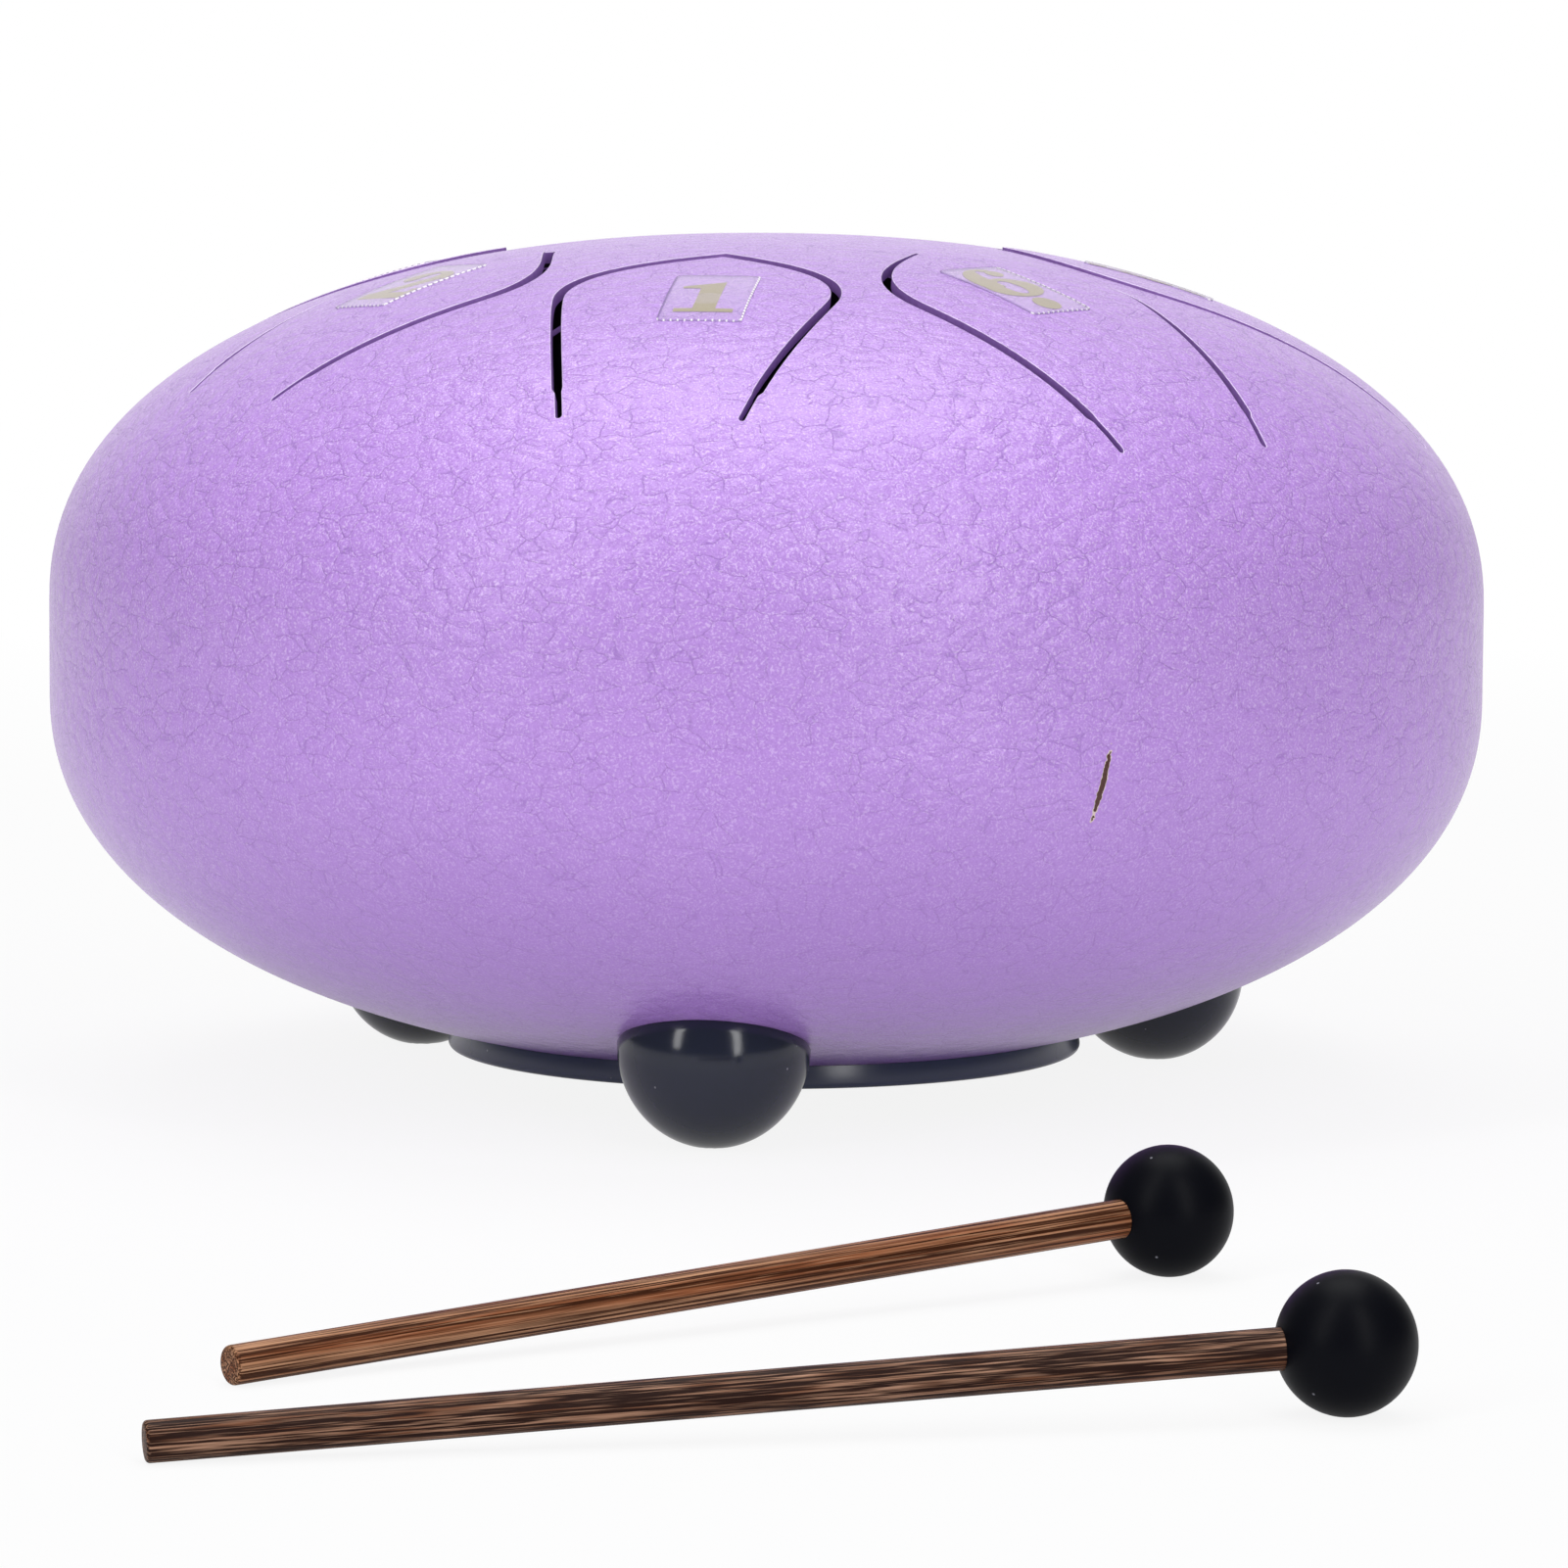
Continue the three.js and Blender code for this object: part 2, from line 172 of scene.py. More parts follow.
@dataclass(frozen=True)
class WrinkleLacquer(Finish):
    """Sprayed wrinkle lacquer on steel: it dries to a fine leathery skin.

    The eye sees soft lilac, cushioned cells of a few millimetres with broken thin creases round them, and a
    finer crinkle of curled flecks that glitter where a lamp is mirrored. Shade is painted along the creases
    and in the hollows between the flecks, and a highlight on every crest. The skin is smoother low on the
    bowl.
    Depths are millimetres.
    """

    colour: str = "#BB90E0"
    # Painted shade along the creases and in the hollows, and also the tone of the lacquer's faint mottling
    shade_and_mottle_colour: str = "#8660B2"
    # Painted highlight on every crest of the fine crinkle
    glint_colour: str = "#F0DCFC"
    # Colour of the highlight painted along the slots' rounded lips
    pale_edge_colour: str = "#F1E2FD"
    chip_colour: str = "#4A2820"
    primer_colour: str = "#D9C7BE"
    cell: float = 3.1
    cell_flattening: float = 1.6
    small_cell: float = 1.2
    crease_break: float = 2.4
    warp_size: float = 2.6
    warp_reach: float = 1.2
    crinkle: float = 0.5
    jitter_reach: float = 0.22
    fleck: float = 0.22
    cloud: float = 14.0
    cushion_depth: float = 0.1
    crease_depth: float = 0.04
    crinkle_depth: float = 0.12
    fleck_depth: float = 0.016
    dusky_share: float = 0.05
    crest_share: float = 0.4
    hollow_share: float = 0.22
    crease_share: float = 0.52
    smooth_below: float = 16.0
    wrinkled_above: float = 60.0
    smooth_share: float = 0.4
    chip_middle: tuple[float, float, float] = (32.6, -68.5, 38.6)
    chip_half: tuple[float, float, float] = (0.42, 1.6, 5.0)
    chip_lean: float = 13.0
    chip_grit: float = 0.5
    chip_raggedness: float = 0.9
    chip_level: float = 0.74
    primer_level: float = 0.6

    def dress(self, tree: bpy.types.NodeTree, place: bpy.types.NodeSocket) -> dict:
        """Builds cushions, creases, crinkle, flecks, a painted highlight along the cut edges' lips and the
        one chip in the lacquer.

        Args:
            tree: the material's node tree.
            place: object coordinates.

        Returns:
            What the shader's sockets get.
        """
        warp, crinkle = (
            add_node(tree, "ShaderNodeTexNoise", {"Vector": place, "Scale": per_metre(size), "Detail": 2.0})
            for size in (self.warp_size, self.crinkle))
        bent = place
        for noise, reach in ((warp, self.warp_reach), (crinkle, self.jitter_reach)):
            centred = add_node(tree, "ShaderNodeVectorMath", {
                0: noise.outputs["Color"], 1: (0.5, 0.5, 0.5)}, operation="SUBTRACT")
            bent = add_node(tree, "ShaderNodeVectorMath", {
                0: centred.outputs[0], 1: (reach * MM,) * 3, 2: bent}, operation="MULTIPLY_ADD").outputs[0]
        height = add_node(tree, "ShaderNodeSeparateXYZ", {0: place}).outputs["Z"]
        wrinkled = add_node(tree, "ShaderNodeMapRange", {
            "Value": height, "From Min": self.smooth_below * MM, "From Max": self.wrinkled_above * MM,
            "To Min": self.smooth_share, "To Max": 1.0}).outputs[0]
        crease, cushion = self.creases(tree, place, bent)
        flecks = self.flecks(tree, bent)
        relief = 0.0
        for part, depth in ((cushion, self.cushion_depth), (crease, -self.crease_depth),
                            (crinkle.outputs[0], self.crinkle_depth), (flecks[0], self.fleck_depth)):
            relief = add_node(tree, "ShaderNodeMath", {
                0: part, 1: depth, 2: relief}, operation="MULTIPLY_ADD").outputs[0]
        bump = add_node(tree, "ShaderNodeBump", {"Height": relief, "Strength": wrinkled, "Distance": MM})
        line, crest, hollow = (
            add_node(tree, "ShaderNodeMath", {0: part, 1: wrinkled}, operation="MULTIPLY").outputs[0]
            for part in (crease, *flecks))
        return {"Base Color": self.colours(tree, place, line, crest, hollow), "Roughness": 0.22, "IOR": 1.5,
                "Specular IOR Level": 0.5, "Normal": bump.outputs[0]}

    def creases(self, tree: bpy.types.NodeTree, place: bpy.types.NodeSocket,
                bent: bpy.types.NodeSocket) -> tuple[bpy.types.NodeSocket, bpy.types.NodeSocket]:
        """Adds creases round the cells, broken by a noise, and fainter ones round smaller cells.

        Args:
            tree: the material's node tree.
            place: object coordinates.
            bent: the warped coordinates that the cells are read in.

        Returns:
            An output that is 1 in a crease, and one that swells to 1 inside each cell.
        """
        flattened = add_node(tree, "ShaderNodeMapping", {
            "Vector": bent, "Scale": (1.0, 1.0, self.cell_flattening)}).outputs[0]
        broken = add_node(tree, "ShaderNodeTexNoise", {
            "Vector": place, "Scale": per_metre(self.crease_break), "Detail": 3.0})
        kept = add_node(tree, "ShaderNodeMapRange", {
            "Value": broken.outputs[0], "From Min": 0.38, "From Max": 0.56}).outputs[0]
        total, cells = 0.0, []
        for cell, width, share in ((self.cell, 0.04, 0.9), (self.small_cell, 0.05, 0.35)):
            edges = add_node(tree, "ShaderNodeTexVoronoi", {
                "Vector": flattened, "Scale": per_metre(cell)}, feature="DISTANCE_TO_EDGE")
            cells.append(edges.outputs["Distance"])
            line = add_node(tree, "ShaderNodeMapRange", {
                "Value": cells[-1], "From Max": width, "To Min": share, "To Max": 0.0},
                interpolation_type="SMOOTHSTEP").outputs[0]
            total = add_node(tree, "ShaderNodeMath", {
                0: line, 1: kept, 2: total}, operation="MULTIPLY_ADD", use_clamp=True).outputs[0]
        cushion = add_node(tree, "ShaderNodeMapRange", {
            "Value": cells[0], "From Max": 0.4}, interpolation_type="SMOOTHSTEP").outputs[0]
        return total, cushion

    def flecks(self, tree: bpy.types.NodeTree, bent: bpy.types.NodeSocket) -> list[bpy.types.NodeSocket]:
        """Adds the finest curls of the skin.

        Args:
            tree: the material's node tree.
            bent: the warped coordinates that they are read in.

        Returns:
            Outputs that are 1 on the crests, and 1 in the shaded hollows.
        """
        noise = add_node(tree, "ShaderNodeTexNoise", {
            "Vector": bent, "Scale": per_metre(self.fleck), "Detail": 1.0}).outputs[0]
        return [
            add_node(tree, "ShaderNodeMapRange", {"Value": noise, "From Min": start, "From Max": full},
                     interpolation_type="SMOOTHSTEP").outputs[0]
            for start, full in ((0.52, 0.68), (0.48, 0.32))]

    def colours(self, tree: bpy.types.NodeTree, place: bpy.types.NodeSocket, crease: bpy.types.NodeSocket,
                crest: bpy.types.NodeSocket, hollow: bpy.types.NodeSocket) -> bpy.types.NodeSocket:
        """Mixes the lacquer's colours.

        Args:
            tree: the material's node tree.
            place: object coordinates.
            crease: crease strength.
            crest: strength of the flecks' crests.
            hollow: strength of the hollows between them.

        Returns:
            The colour output.
        """
        cloud = add_node(tree, "ShaderNodeTexNoise", {
            "Vector": place, "Scale": per_metre(self.cloud), "Detail": 2.0}).outputs[0]
        dusky = add_node(tree, "ShaderNodeMapRange", {
            "Value": cloud, "From Min": 0.3, "From Max": 0.7, "To Max": self.dusky_share}).outputs[0]
        glint, shade, line = (
            add_node(tree, "ShaderNodeMath", {0: part, 1: share}, operation="MULTIPLY").outputs[0]
            for part, share in ((crest, self.crest_share), (hollow, self.hollow_share),
                                (crease, self.crease_share)))
        # Highlight painted along the slots' rounded lips, as the mesh marks it
        pale = add_node(tree, "ShaderNodeAttribute", attribute_name="pale_edge").outputs["Fac"]
        chip, primer = self.chip(tree, place)
        # The mottling is the lacquer's own uneven tone; the glint on the crests is a painted highlight, and
        # the shade in the hollows and along the creases is painted shade
        return layered(tree, self.colour, [
            (dusky, self.shade_and_mottle_colour), (glint, self.glint_colour), (shade, self.shade_and_mottle_colour),
            (line, self.shade_and_mottle_colour), (pale, self.pale_edge_colour), (primer, self.primer_colour),
            (chip, self.chip_colour)])

    def chip(self, tree: bpy.types.NodeTree,
             place: bpy.types.NodeSocket) -> tuple[bpy.types.NodeSocket, bpy.types.NodeSocket]:
        """Adds the one long chip knocked through the lacquer on the right of the bowl.

        Args:
            tree: the material's node tree.
            place: object coordinates.

        Returns:
            Outputs that are 1 in the chip's dark bottom, and 1 on it and its pale rim.
        """
        away = math.atan2(self.chip_middle[0], -self.chip_middle[1])
        turned = add_node(tree, "ShaderNodeMapping", {
            "Vector": place, "Location": tuple(x * MM for x in self.chip_middle),
            "Rotation": (0.0, math.radians(self.chip_lean), away),
            "Scale": tuple(x * MM for x in self.chip_half)}, vector_type="TEXTURE").outputs[0]
        near = add_node(tree, "ShaderNodeTexGradient", {"Vector": turned}, gradient_type="SPHERICAL")
        grit = add_node(tree, "ShaderNodeTexNoise", {
            "Vector": place, "Scale": per_metre(self.chip_grit), "Detail": 2.0}).outputs[0]
        ragged = add_node(tree, "ShaderNodeMath", {
            0: grit, 1: self.chip_raggedness, 2: near.outputs["Fac"]}, operation="MULTIPLY_ADD").outputs[0]
        inside = add_node(tree, "ShaderNodeMath", {
            0: near.outputs["Fac"], 1: 0.02}, operation="GREATER_THAN").outputs[0]
        reached = add_node(tree, "ShaderNodeMath", {0: ragged, 1: inside}, operation="MULTIPLY").outputs[0]
        chip, primer = (
            add_node(tree, "ShaderNodeMapRange", {
                "Value": reached, "From Min": level, "From Max": level + 0.05}).outputs[0]
            for level in (self.chip_level, self.primer_level))
        return chip, primer


@dataclass(frozen=True)
class Mottled(Finish):
    """A finish that wanders between two tones, in patches of a size in millimetres."""

    colour: str
    other_colour: str
    patch: float
    detail: float
    metallic: float
    roughness: float

    def dress(self, tree: bpy.types.NodeTree, place: bpy.types.NodeSocket) -> dict:
        """Mixes the two tones.

        Args:
            tree: the material's node tree.
            place: object coordinates.

        Returns:
            What the shader's sockets get.
        """
        patches = add_node(tree, "ShaderNodeTexNoise", {
            "Vector": place, "Scale": per_metre(self.patch), "Detail": self.detail}).outputs[0]
        return {"Base Color": layered(tree, self.colour, [(patches, self.other_colour)]),
                "Metallic": self.metallic, "Roughness": self.roughness}


@dataclass(frozen=True)
class SheetInside(Mottled):
    """Unlacquered inside of the pressed steel, coloured dark as painted shade for the drum's dim inside, and
    barely shiny.
    """

    colour: str = "#3A3442"
    other_colour: str = "#544A62"
    patch: float = 9.0
    detail: float = 5.0
    metallic: float = 0.3
    roughness: float = 0.6


@dataclass(frozen=True)
class CutWall(Mottled):
    """Laser-cut wall of a slot, lacquered a darker purple than the face: painted shade for the narrow slot.
    """

    colour: str = "#8C5EB2"
    other_colour: str = "#AC86D4"
    patch: float = 0.5
    detail: float = 2.0
    metallic: float = 0.2
    roughness: float = 0.5


@dataclass(frozen=True)
class PrintedInk(Mottled):
    """Screen-printed pale gold ink: opaque, flat and a little grainy from the screen."""

    colour: str = "#9E9468"
    other_colour: str = "#A89F7C"
    patch: float = 0.5
    detail: float = 2.0
    metallic: float = 0.0
    roughness: float = 0.28


@dataclass(frozen=True)
class ClearVinyl(Finish):
    """Die-cut clear vinyl film: a faint milky veil, with a painted sheen that grows where it is seen edge-on.
    """

    colour: str = "#E2D8EC"
    alpha: float = 0.1
    edge_on_sheen_alpha: float = 0.5
    ripple: float = 3.0
    ripple_depth: float = 0.04

    def dress(self, tree: bpy.types.NodeTree, place: bpy.types.NodeSocket) -> dict:
        """Lets the lacquer show through, with the slight ripples of film over a wrinkled face.

        Args:
            tree: the material's node tree.
            place: object coordinates.

        Returns:
            What the shader's sockets get.
        """
        ripple = add_node(tree, "ShaderNodeTexNoise", {
            "Vector": place, "Scale": per_metre(self.ripple), "Detail": 1.0}).outputs[0]
        bump = add_node(tree, "ShaderNodeBump", {"Height": ripple, "Distance": self.ripple_depth * MM})
        # Painted sheen: more of the pale film colour shows as the film is seen edge-on
        aslant = add_node(tree, "ShaderNodeLayerWeight", {"Blend": 0.5}).outputs["Facing"]
        alpha = add_node(tree, "ShaderNodeMapRange", {
            "Value": aslant, "From Min": 0.6, "From Max": 1.0, "To Min": self.alpha,
            "To Max": self.edge_on_sheen_alpha})
        return {"Base Color": linear(self.colour), "Roughness": 0.22, "IOR": 1.5,
                "Alpha": alpha.outputs[0], "Normal": bump.outputs[0]}


@dataclass(frozen=True)
class CutVinylEdge(Finish):
    """Cut edge of the vinyl where it bridges the wrinkles: a row of painted white glints, or a painted thin
    line of shade.
    """

    colour: str = "#FDF8FF"
    shade_colour: str = "#8A70AC"
    alpha: float = 0.95
    shade_alpha: float = 0.35

    def dress(self, tree: bpy.types.NodeTree, place: bpy.types.NodeSocket) -> dict:
        """Paints the glints that the mesh marks along the edge, and shade where it marks none.

        Args:
            tree: the material's node tree.
            place: object coordinates, which the glints don't need.

        Returns:
            What the shader's sockets get.
        """
        mark = add_node(tree, "ShaderNodeAttribute", attribute_name="pale_edge").outputs["Fac"]
        bright = add_node(tree, "ShaderNodeMapRange", {
            "Value": mark, "From Min": 0.3, "From Max": 0.6}).outputs[0]
        alpha = add_node(tree, "ShaderNodeMapRange", {
            "Value": bright, "To Min": self.shade_alpha, "To Max": self.alpha}).outputs[0]
        return {"Base Color": layered(tree, self.shade_colour, [(bright, self.colour)]),
                "Roughness": 0.25, "Alpha": alpha}


@dataclass(frozen=True)
class MouldedRubber(Finish):
    """Moulded rubber: an even dark skin with the mould's soft shine and a few specks of dust."""

    colour: str
    roughness: float
    dust_colour: str = "#8E8E98"
    dust_spacing: float = 2.4
    dust_size: float = 0.055
    dust_share: float = 0.8
    skin: float = 0.35
    skin_relief: float = 0.004
    shine: float = 0.5

    def dress(self, tree: bpy.types.NodeTree, place: bpy.types.NodeSocket) -> dict:
        """Adds the mould's fine skin and scattered dust.

        Args:
            tree: the material's node tree.
            place: object coordinates.

        Returns:
            What the shader's sockets get.
        """
        specks = add_node(tree, "ShaderNodeTexVoronoi", {
            "Vector": place, "Scale": per_metre(self.dust_spacing), "Randomness": 1.0}, feature="F1")
        dust = add_node(tree, "ShaderNodeMapRange", {
            "Value": specks.outputs["Distance"], "From Min": self.dust_size * 0.6, "From Max": self.dust_size,
            "To Min": self.dust_share, "To Max": 0.0}).outputs[0]
        skin = add_node(tree, "ShaderNodeTexNoise", {
            "Vector": place, "Scale": per_metre(self.skin), "Detail": 2.0}).outputs[0]
        bump = add_node(tree, "ShaderNodeBump", {"Height": skin, "Distance": self.skin_relief * MM})
        return {"Base Color": layered(tree, self.colour, [(dust, self.dust_colour)]),
                "Roughness": self.roughness, "IOR": 1.52, "Specular IOR Level": self.shine,
                "Normal": bump.outputs[0]}


@dataclass(frozen=True)
class AdhesiveFoam(Finish):
    """Double-sided foam pad: dull, pale and full of tiny cells."""

    colour: str = "#CFCFCB"
    cell_colour: str = "#A9A9A6"
    cell: float = 0.5

    def dress(self, tree: bpy.types.NodeTree, place: bpy.types.NodeSocket) -> dict:
        """Shades the foam's cells.

        Args:
            tree: the material's node tree.
            place: object coordinates.

        Returns:
            What the shader's sockets get.
        """
        cells = add_node(tree, "ShaderNodeTexVoronoi", {"Vector": place, "Scale": per_metre(self.cell)})
        pale = cells.outputs["Distance"]
        return {"Base Color": layered(tree, self.cell_colour, [(pale, self.colour)]), "Roughness": 0.85}


class Grain(Enum):
    """How the wood of a stick was sawn, with the angle in degrees between its fibres and the stick."""

    STRAIGHT = 0.4
    SLANTED = 9.0


@dataclass(frozen=True)
class TurnedPalmwood(Finish):
    """Turned and waxed palm wood: dark fibre strands run along the stick through a paler ground."""

    ground_colour: str
    warm_colour: str
    strand_colour: str
    grain: Grain
    strand_share: float
    strand_width: float = 0.34
    strand_length: float = 26.0
    strand_depth: float = 0.02
    fibre_width: float = 0.13
    fibre_length: float = 9.0
    cloud_width: float = 1.3

    def dress(self, tree: bpy.types.NodeTree, place: bpy.types.NodeSocket) -> dict:
        """Streaks the ground with strands and fine fibres along the stick's own X axis.

        Args:
            tree: the material's node tree.
            place: object coordinates.

        Returns:
            What the shader's sockets get.
        """
        strands, fibres, cloud = (
            self.streaks(tree, place, length, width, detail)
            for length, width, detail in (
                (self.strand_length, self.strand_width, 2.0),
                (self.fibre_length, self.fibre_width, 3.0),
                (self.strand_length, self.cloud_width, 1.0)))
        more = self.strand_share / 4
        # What is read, the levels between which a layer comes in, how much it covers and its colour
        rows = [
            (cloud, 0.38, 0.62, 1.0, self.warm_colour),
            (fibres, 0.5, 0.66, 0.7, self.strand_colour),
            (strands, 0.58 - more, 0.72 - more, 1.0, self.strand_colour),
            (fibres, 0.44, 0.32, 0.6, self.ground_colour),
        ]
        layers = []
        for source, start, full, cover, colour in rows:
            share = add_node(tree, "ShaderNodeMapRange", {
                "Value": source, "From Min": start, "From Max": full, "To Max": cover}).outputs[0]
            layers.append((share, colour))
        dark = layers[2][0]
        bump = add_node(tree, "ShaderNodeBump", {"Height": dark, "Distance": -self.strand_depth * MM})
        return {"Base Color": layered(tree, self.ground_colour, layers), "Roughness": 0.5, "IOR": 1.45,
                "Specular IOR Level": 0.15, "Normal": bump.outputs[0]}

    def streaks(self, tree: bpy.types.NodeTree, place: bpy.types.NodeSocket, length: float, width: float,
                detail: float) -> bpy.types.NodeSocket:
        """Adds noise drawn out along the stick.

        Args:
            tree: the material's node tree.
            place: object coordinates.
            length: length of a streak.
            width: width of a streak.
            detail: how many finer layers it has.

        Returns:
            The noise output.
        """
        slant = math.radians(self.grain.value)
        drawn = add_node(tree, "ShaderNodeMapping", {
            "Vector": place, "Rotation": (0.0, slant, slant),
            "Scale": (per_metre(length), per_metre(width), per_metre(width))}).outputs[0]
        return add_node(tree, "ShaderNodeTexNoise", {
            "Vector": drawn, "Scale": 1.0, "Detail": detail}).outputs[0]


@dataclass(frozen=True)
class WhitePaper(Finish):
    """Matte white paper laid out as a floor: shaded near the object, plain white further off.

    Seen from above through the slots and the sound hole, it has the dark of the drum's inside. It is clear
    from below, so that the drum's underside can be looked at.
    """

    colour: str = "#DEDEE0"
    white: str = "#FFFFFF"
    dark_reach: float = 34.0
    dark_end: float = 44.2
    shadow_reach: float = 300.0
    shaded_white: float = 0.88
    mirrored_white: float = 0.56

    def dress(self, tree: bpy.types.NodeTree, place: bpy.types.NodeSocket) -> dict:
        """Mixes paper that takes shadows with plain white.

        Args:
            tree: the material's node tree.
            place: object coordinates.

        Returns:
            What the shader's sockets get.
        """
        away = add_node(tree, "ShaderNodeVectorMath", {0: place}, operation="LENGTH").outputs["Value"]
        far = add_node(tree, "ShaderNodeMapRange", {
            "Value": away, "From Min": self.shadow_reach * MM, "From Max": 2 * self.shadow_reach * MM,
            "To Min": self.shaded_white, "To Max": 1.0}).outputs[0]
        aslant = add_node(tree, "ShaderNodeLayerWeight", {"Blend": 0.5}).outputs["Facing"]
        level = add_node(tree, "ShaderNodeMapRange", {
            "Value": aslant, "From Min": 0.5, "From Max": 0.8}).outputs[0]
        plain = add_node(tree, "ShaderNodeMapRange", {
            "Value": away, "From Min": self.dark_reach * MM, "From Max": self.dark_end * MM,
            "To Min": level, "To Max": 1.0}).outputs[0]
        looked_at = add_node(tree, "ShaderNodeLightPath").outputs["Is Camera Ray"]
        direct, mirrored = (
            add_node(tree, "ShaderNodeMath", {0: ray, 1: white}, operation="MULTIPLY").outputs[0]
            for ray, white in ((looked_at, plain), (mirrored_rays(tree), self.mirrored_white)))
        seen = add_node(tree, "ShaderNodeMath", {0: direct, 1: mirrored}, operation="MAXIMUM").outputs[0]
        share = add_node(tree, "ShaderNodeMath", {0: seen, 1: far}, operation="MULTIPLY").outputs[0]
        white = add_node(tree, "ShaderNodeEmission", {"Color": linear(self.white), "Strength": 1.0})
        paper = add_node(tree, "ShaderNodeMixShader", {
            0: share, 1: tree.nodes["Principled BSDF"].outputs[0], 2: white.outputs[0]})
        below = add_node(tree, "ShaderNodeNewGeometry").outputs["Backfacing"]
        clear = add_node(tree, "ShaderNodeBsdfTransparent").outputs[0]
        mixed = add_node(tree, "ShaderNodeMixShader", {0: below, 1: paper.outputs[0], 2: clear})
        fill_sockets(tree, tree.nodes["Material Output"], {"Surface": mixed.outputs[0]})
        return {"Base Color": linear(self.colour), "Roughness": 0.9}


# Meshes
def ways_at(angles: np.ndarray) -> np.ndarray:
    """Directions in the plan at angles in radians, a row for each."""
    return np.column_stack([np.cos(angles), np.sin(angles)])


def ways_round(count: int, shift: float = 0.0) -> np.ndarray:
    """Directions evenly spaced round a turn, shifted by a share of a step."""
    return ways_at(2 * math.pi * (np.arange(count) + shift) / count)


@dataclass
class Draft:
    """Points and faces of one piece, in millimetres, before it becomes a mesh."""

    points: list[np.ndarray] = field(default_factory=list)
    normals: list[np.ndarray] = field(default_factory=list)
    pale: list[np.ndarray] = field(default_factory=list)
    faces: list[tuple[int, ...]] = field(default_factory=list)
    slots: list[int] = field(default_factory=list)
    count: int = 0

    def add(self, points: np.ndarray, normals: np.ndarray | None = None,
            pale: float | np.ndarray = 0.0) -> np.ndarray:
        """Adds points.

        Args:
            points: places, a row for each.
            normals: directions that they face, for a piece whose form is known exactly.
            pale: how strongly a highlight or glint is painted there.

        Returns:
            The points' numbers.
        """
        numbers = np.arange(self.count, self.count + len(points))
        self.count += len(points)
        self.points.append(np.asarray(points, float))
        self.pale.append(np.full(len(points), pale))
        if normals is not None:
            self.normals.append(np.asarray(normals, float))
        return numbers

    def face(self, corners: np.ndarray | tuple[int, ...], slot: int = 0, flip: bool = False) -> None:
        """Adds one face, turned over if flip is set."""
        self.faces.append(tuple(int(c) for c in (corners[::-1] if flip else corners)))
        self.slots.append(slot)

    def bridge(self, upper: np.ndarray, lower: np.ndarray, slot: int = 0, closed: bool = False,
               flip: bool = False) -> None:
        """Joins two rows of points by quads, facing to the right of the upper row's way.

        Args:
            upper: numbers of one row's points.
            lower: numbers of the other row's points, as many.
            slot: the finish of the faces.
            closed: whether the rows close on themselves.
            flip: whether the faces are turned over.
        """
        steps = len(upper) if closed else len(upper) - 1
        for i in range(steps):
            j = (i + 1) % len(upper)
            self.face((upper[i], lower[i], lower[j], upper[j]), slot, flip)

    def turn(self, profile: list[tuple[float, float]], around: int) -> None:
        """Turns a profile round Z, from axis to axis or closed on itself.

        Args:
            profile: radius and height of its points.
            around: how many points a ring has.
        """
        ways = ways_round(around)
        rows = []
        for radius, height in profile:
            if radius < TINY:
                rows.append(self.add(np.array([[0.0, 0.0, height]])))
            else:
                rows.append(self.add(np.column_stack([ways * radius, np.full(around, height)])))
        open_ended = profile[0][0] < TINY
        for upper, lower in zip(rows, rows[1:] if open_ended else rows[1:] + rows[:1]):
            if len(upper) == 1:
                for i in range(around):
                    self.face((upper[0], lower[i], lower[(i + 1) % around]))
            elif len(lower) == 1:
                for i in range(around):
                    self.face((upper[i], lower[0], upper[(i + 1) % around]))
            else:
                self.bridge(upper, lower, closed=True)

    def build(self, name: str, materials: list[bpy.types.Material],
              place: Matrix | None = None, sharp: float = 38.0) -> bpy.types.Object:
        """Makes the piece.

        Args:
            name: the piece's name.
            materials: its finishes, in the order of the faces' slots.
            place: where it stands, in metres; at the origin if left out.
            sharp: angle in degrees past which an edge isn't smoothed, where no normals were given.

        Returns:
            The Blender object.
        """
        mesh = bpy.data.meshes.new(name)
        mesh.from_pydata((np.vstack(self.points) * MM).tolist(), [], self.faces)
        mesh.polygons.foreach_set("material_index", self.slots)
        for material in materials:
            mesh.materials.append(material)
        mesh.shade_smooth()
        # Highlights and glints painted along cut edges, for the finishes to read
        painted_highlight = mesh.attributes.new("pale_edge", "FLOAT", "POINT")
        painted_highlight.data.foreach_set("value", np.concatenate(self.pale).astype(np.float32))
        if self.normals:
            mesh.normals_split_custom_set_from_vertices(np.vstack(self.normals).tolist())
        else:
            mesh.set_sharp_from_angle(angle=math.radians(sharp))
        piece = bpy.data.objects.new(name, mesh)
        bpy.context.scene.collection.objects.link(piece)
        if place is not None:
            piece.matrix_world = place
        log.info("%s: %d points, %d faces", name, self.count, len(self.faces))
        return piece


def bezier(handles: list[tuple[float, float]], steps: int) -> np.ndarray:
    """Points of a Bezier curve.

    Args:
        handles: its handles, from end to end.
        steps: how many steps it is divided into.

    Returns:
        The points, a row for each.
    """
    share = np.linspace(0, 1, steps + 1)[:, None]
    points = [np.asarray(handle, float) for handle in handles]
    while len(points) > 1:
        points = [a * (1 - share) + b * share for a, b in zip(points, points[1:])]
    return points[0]


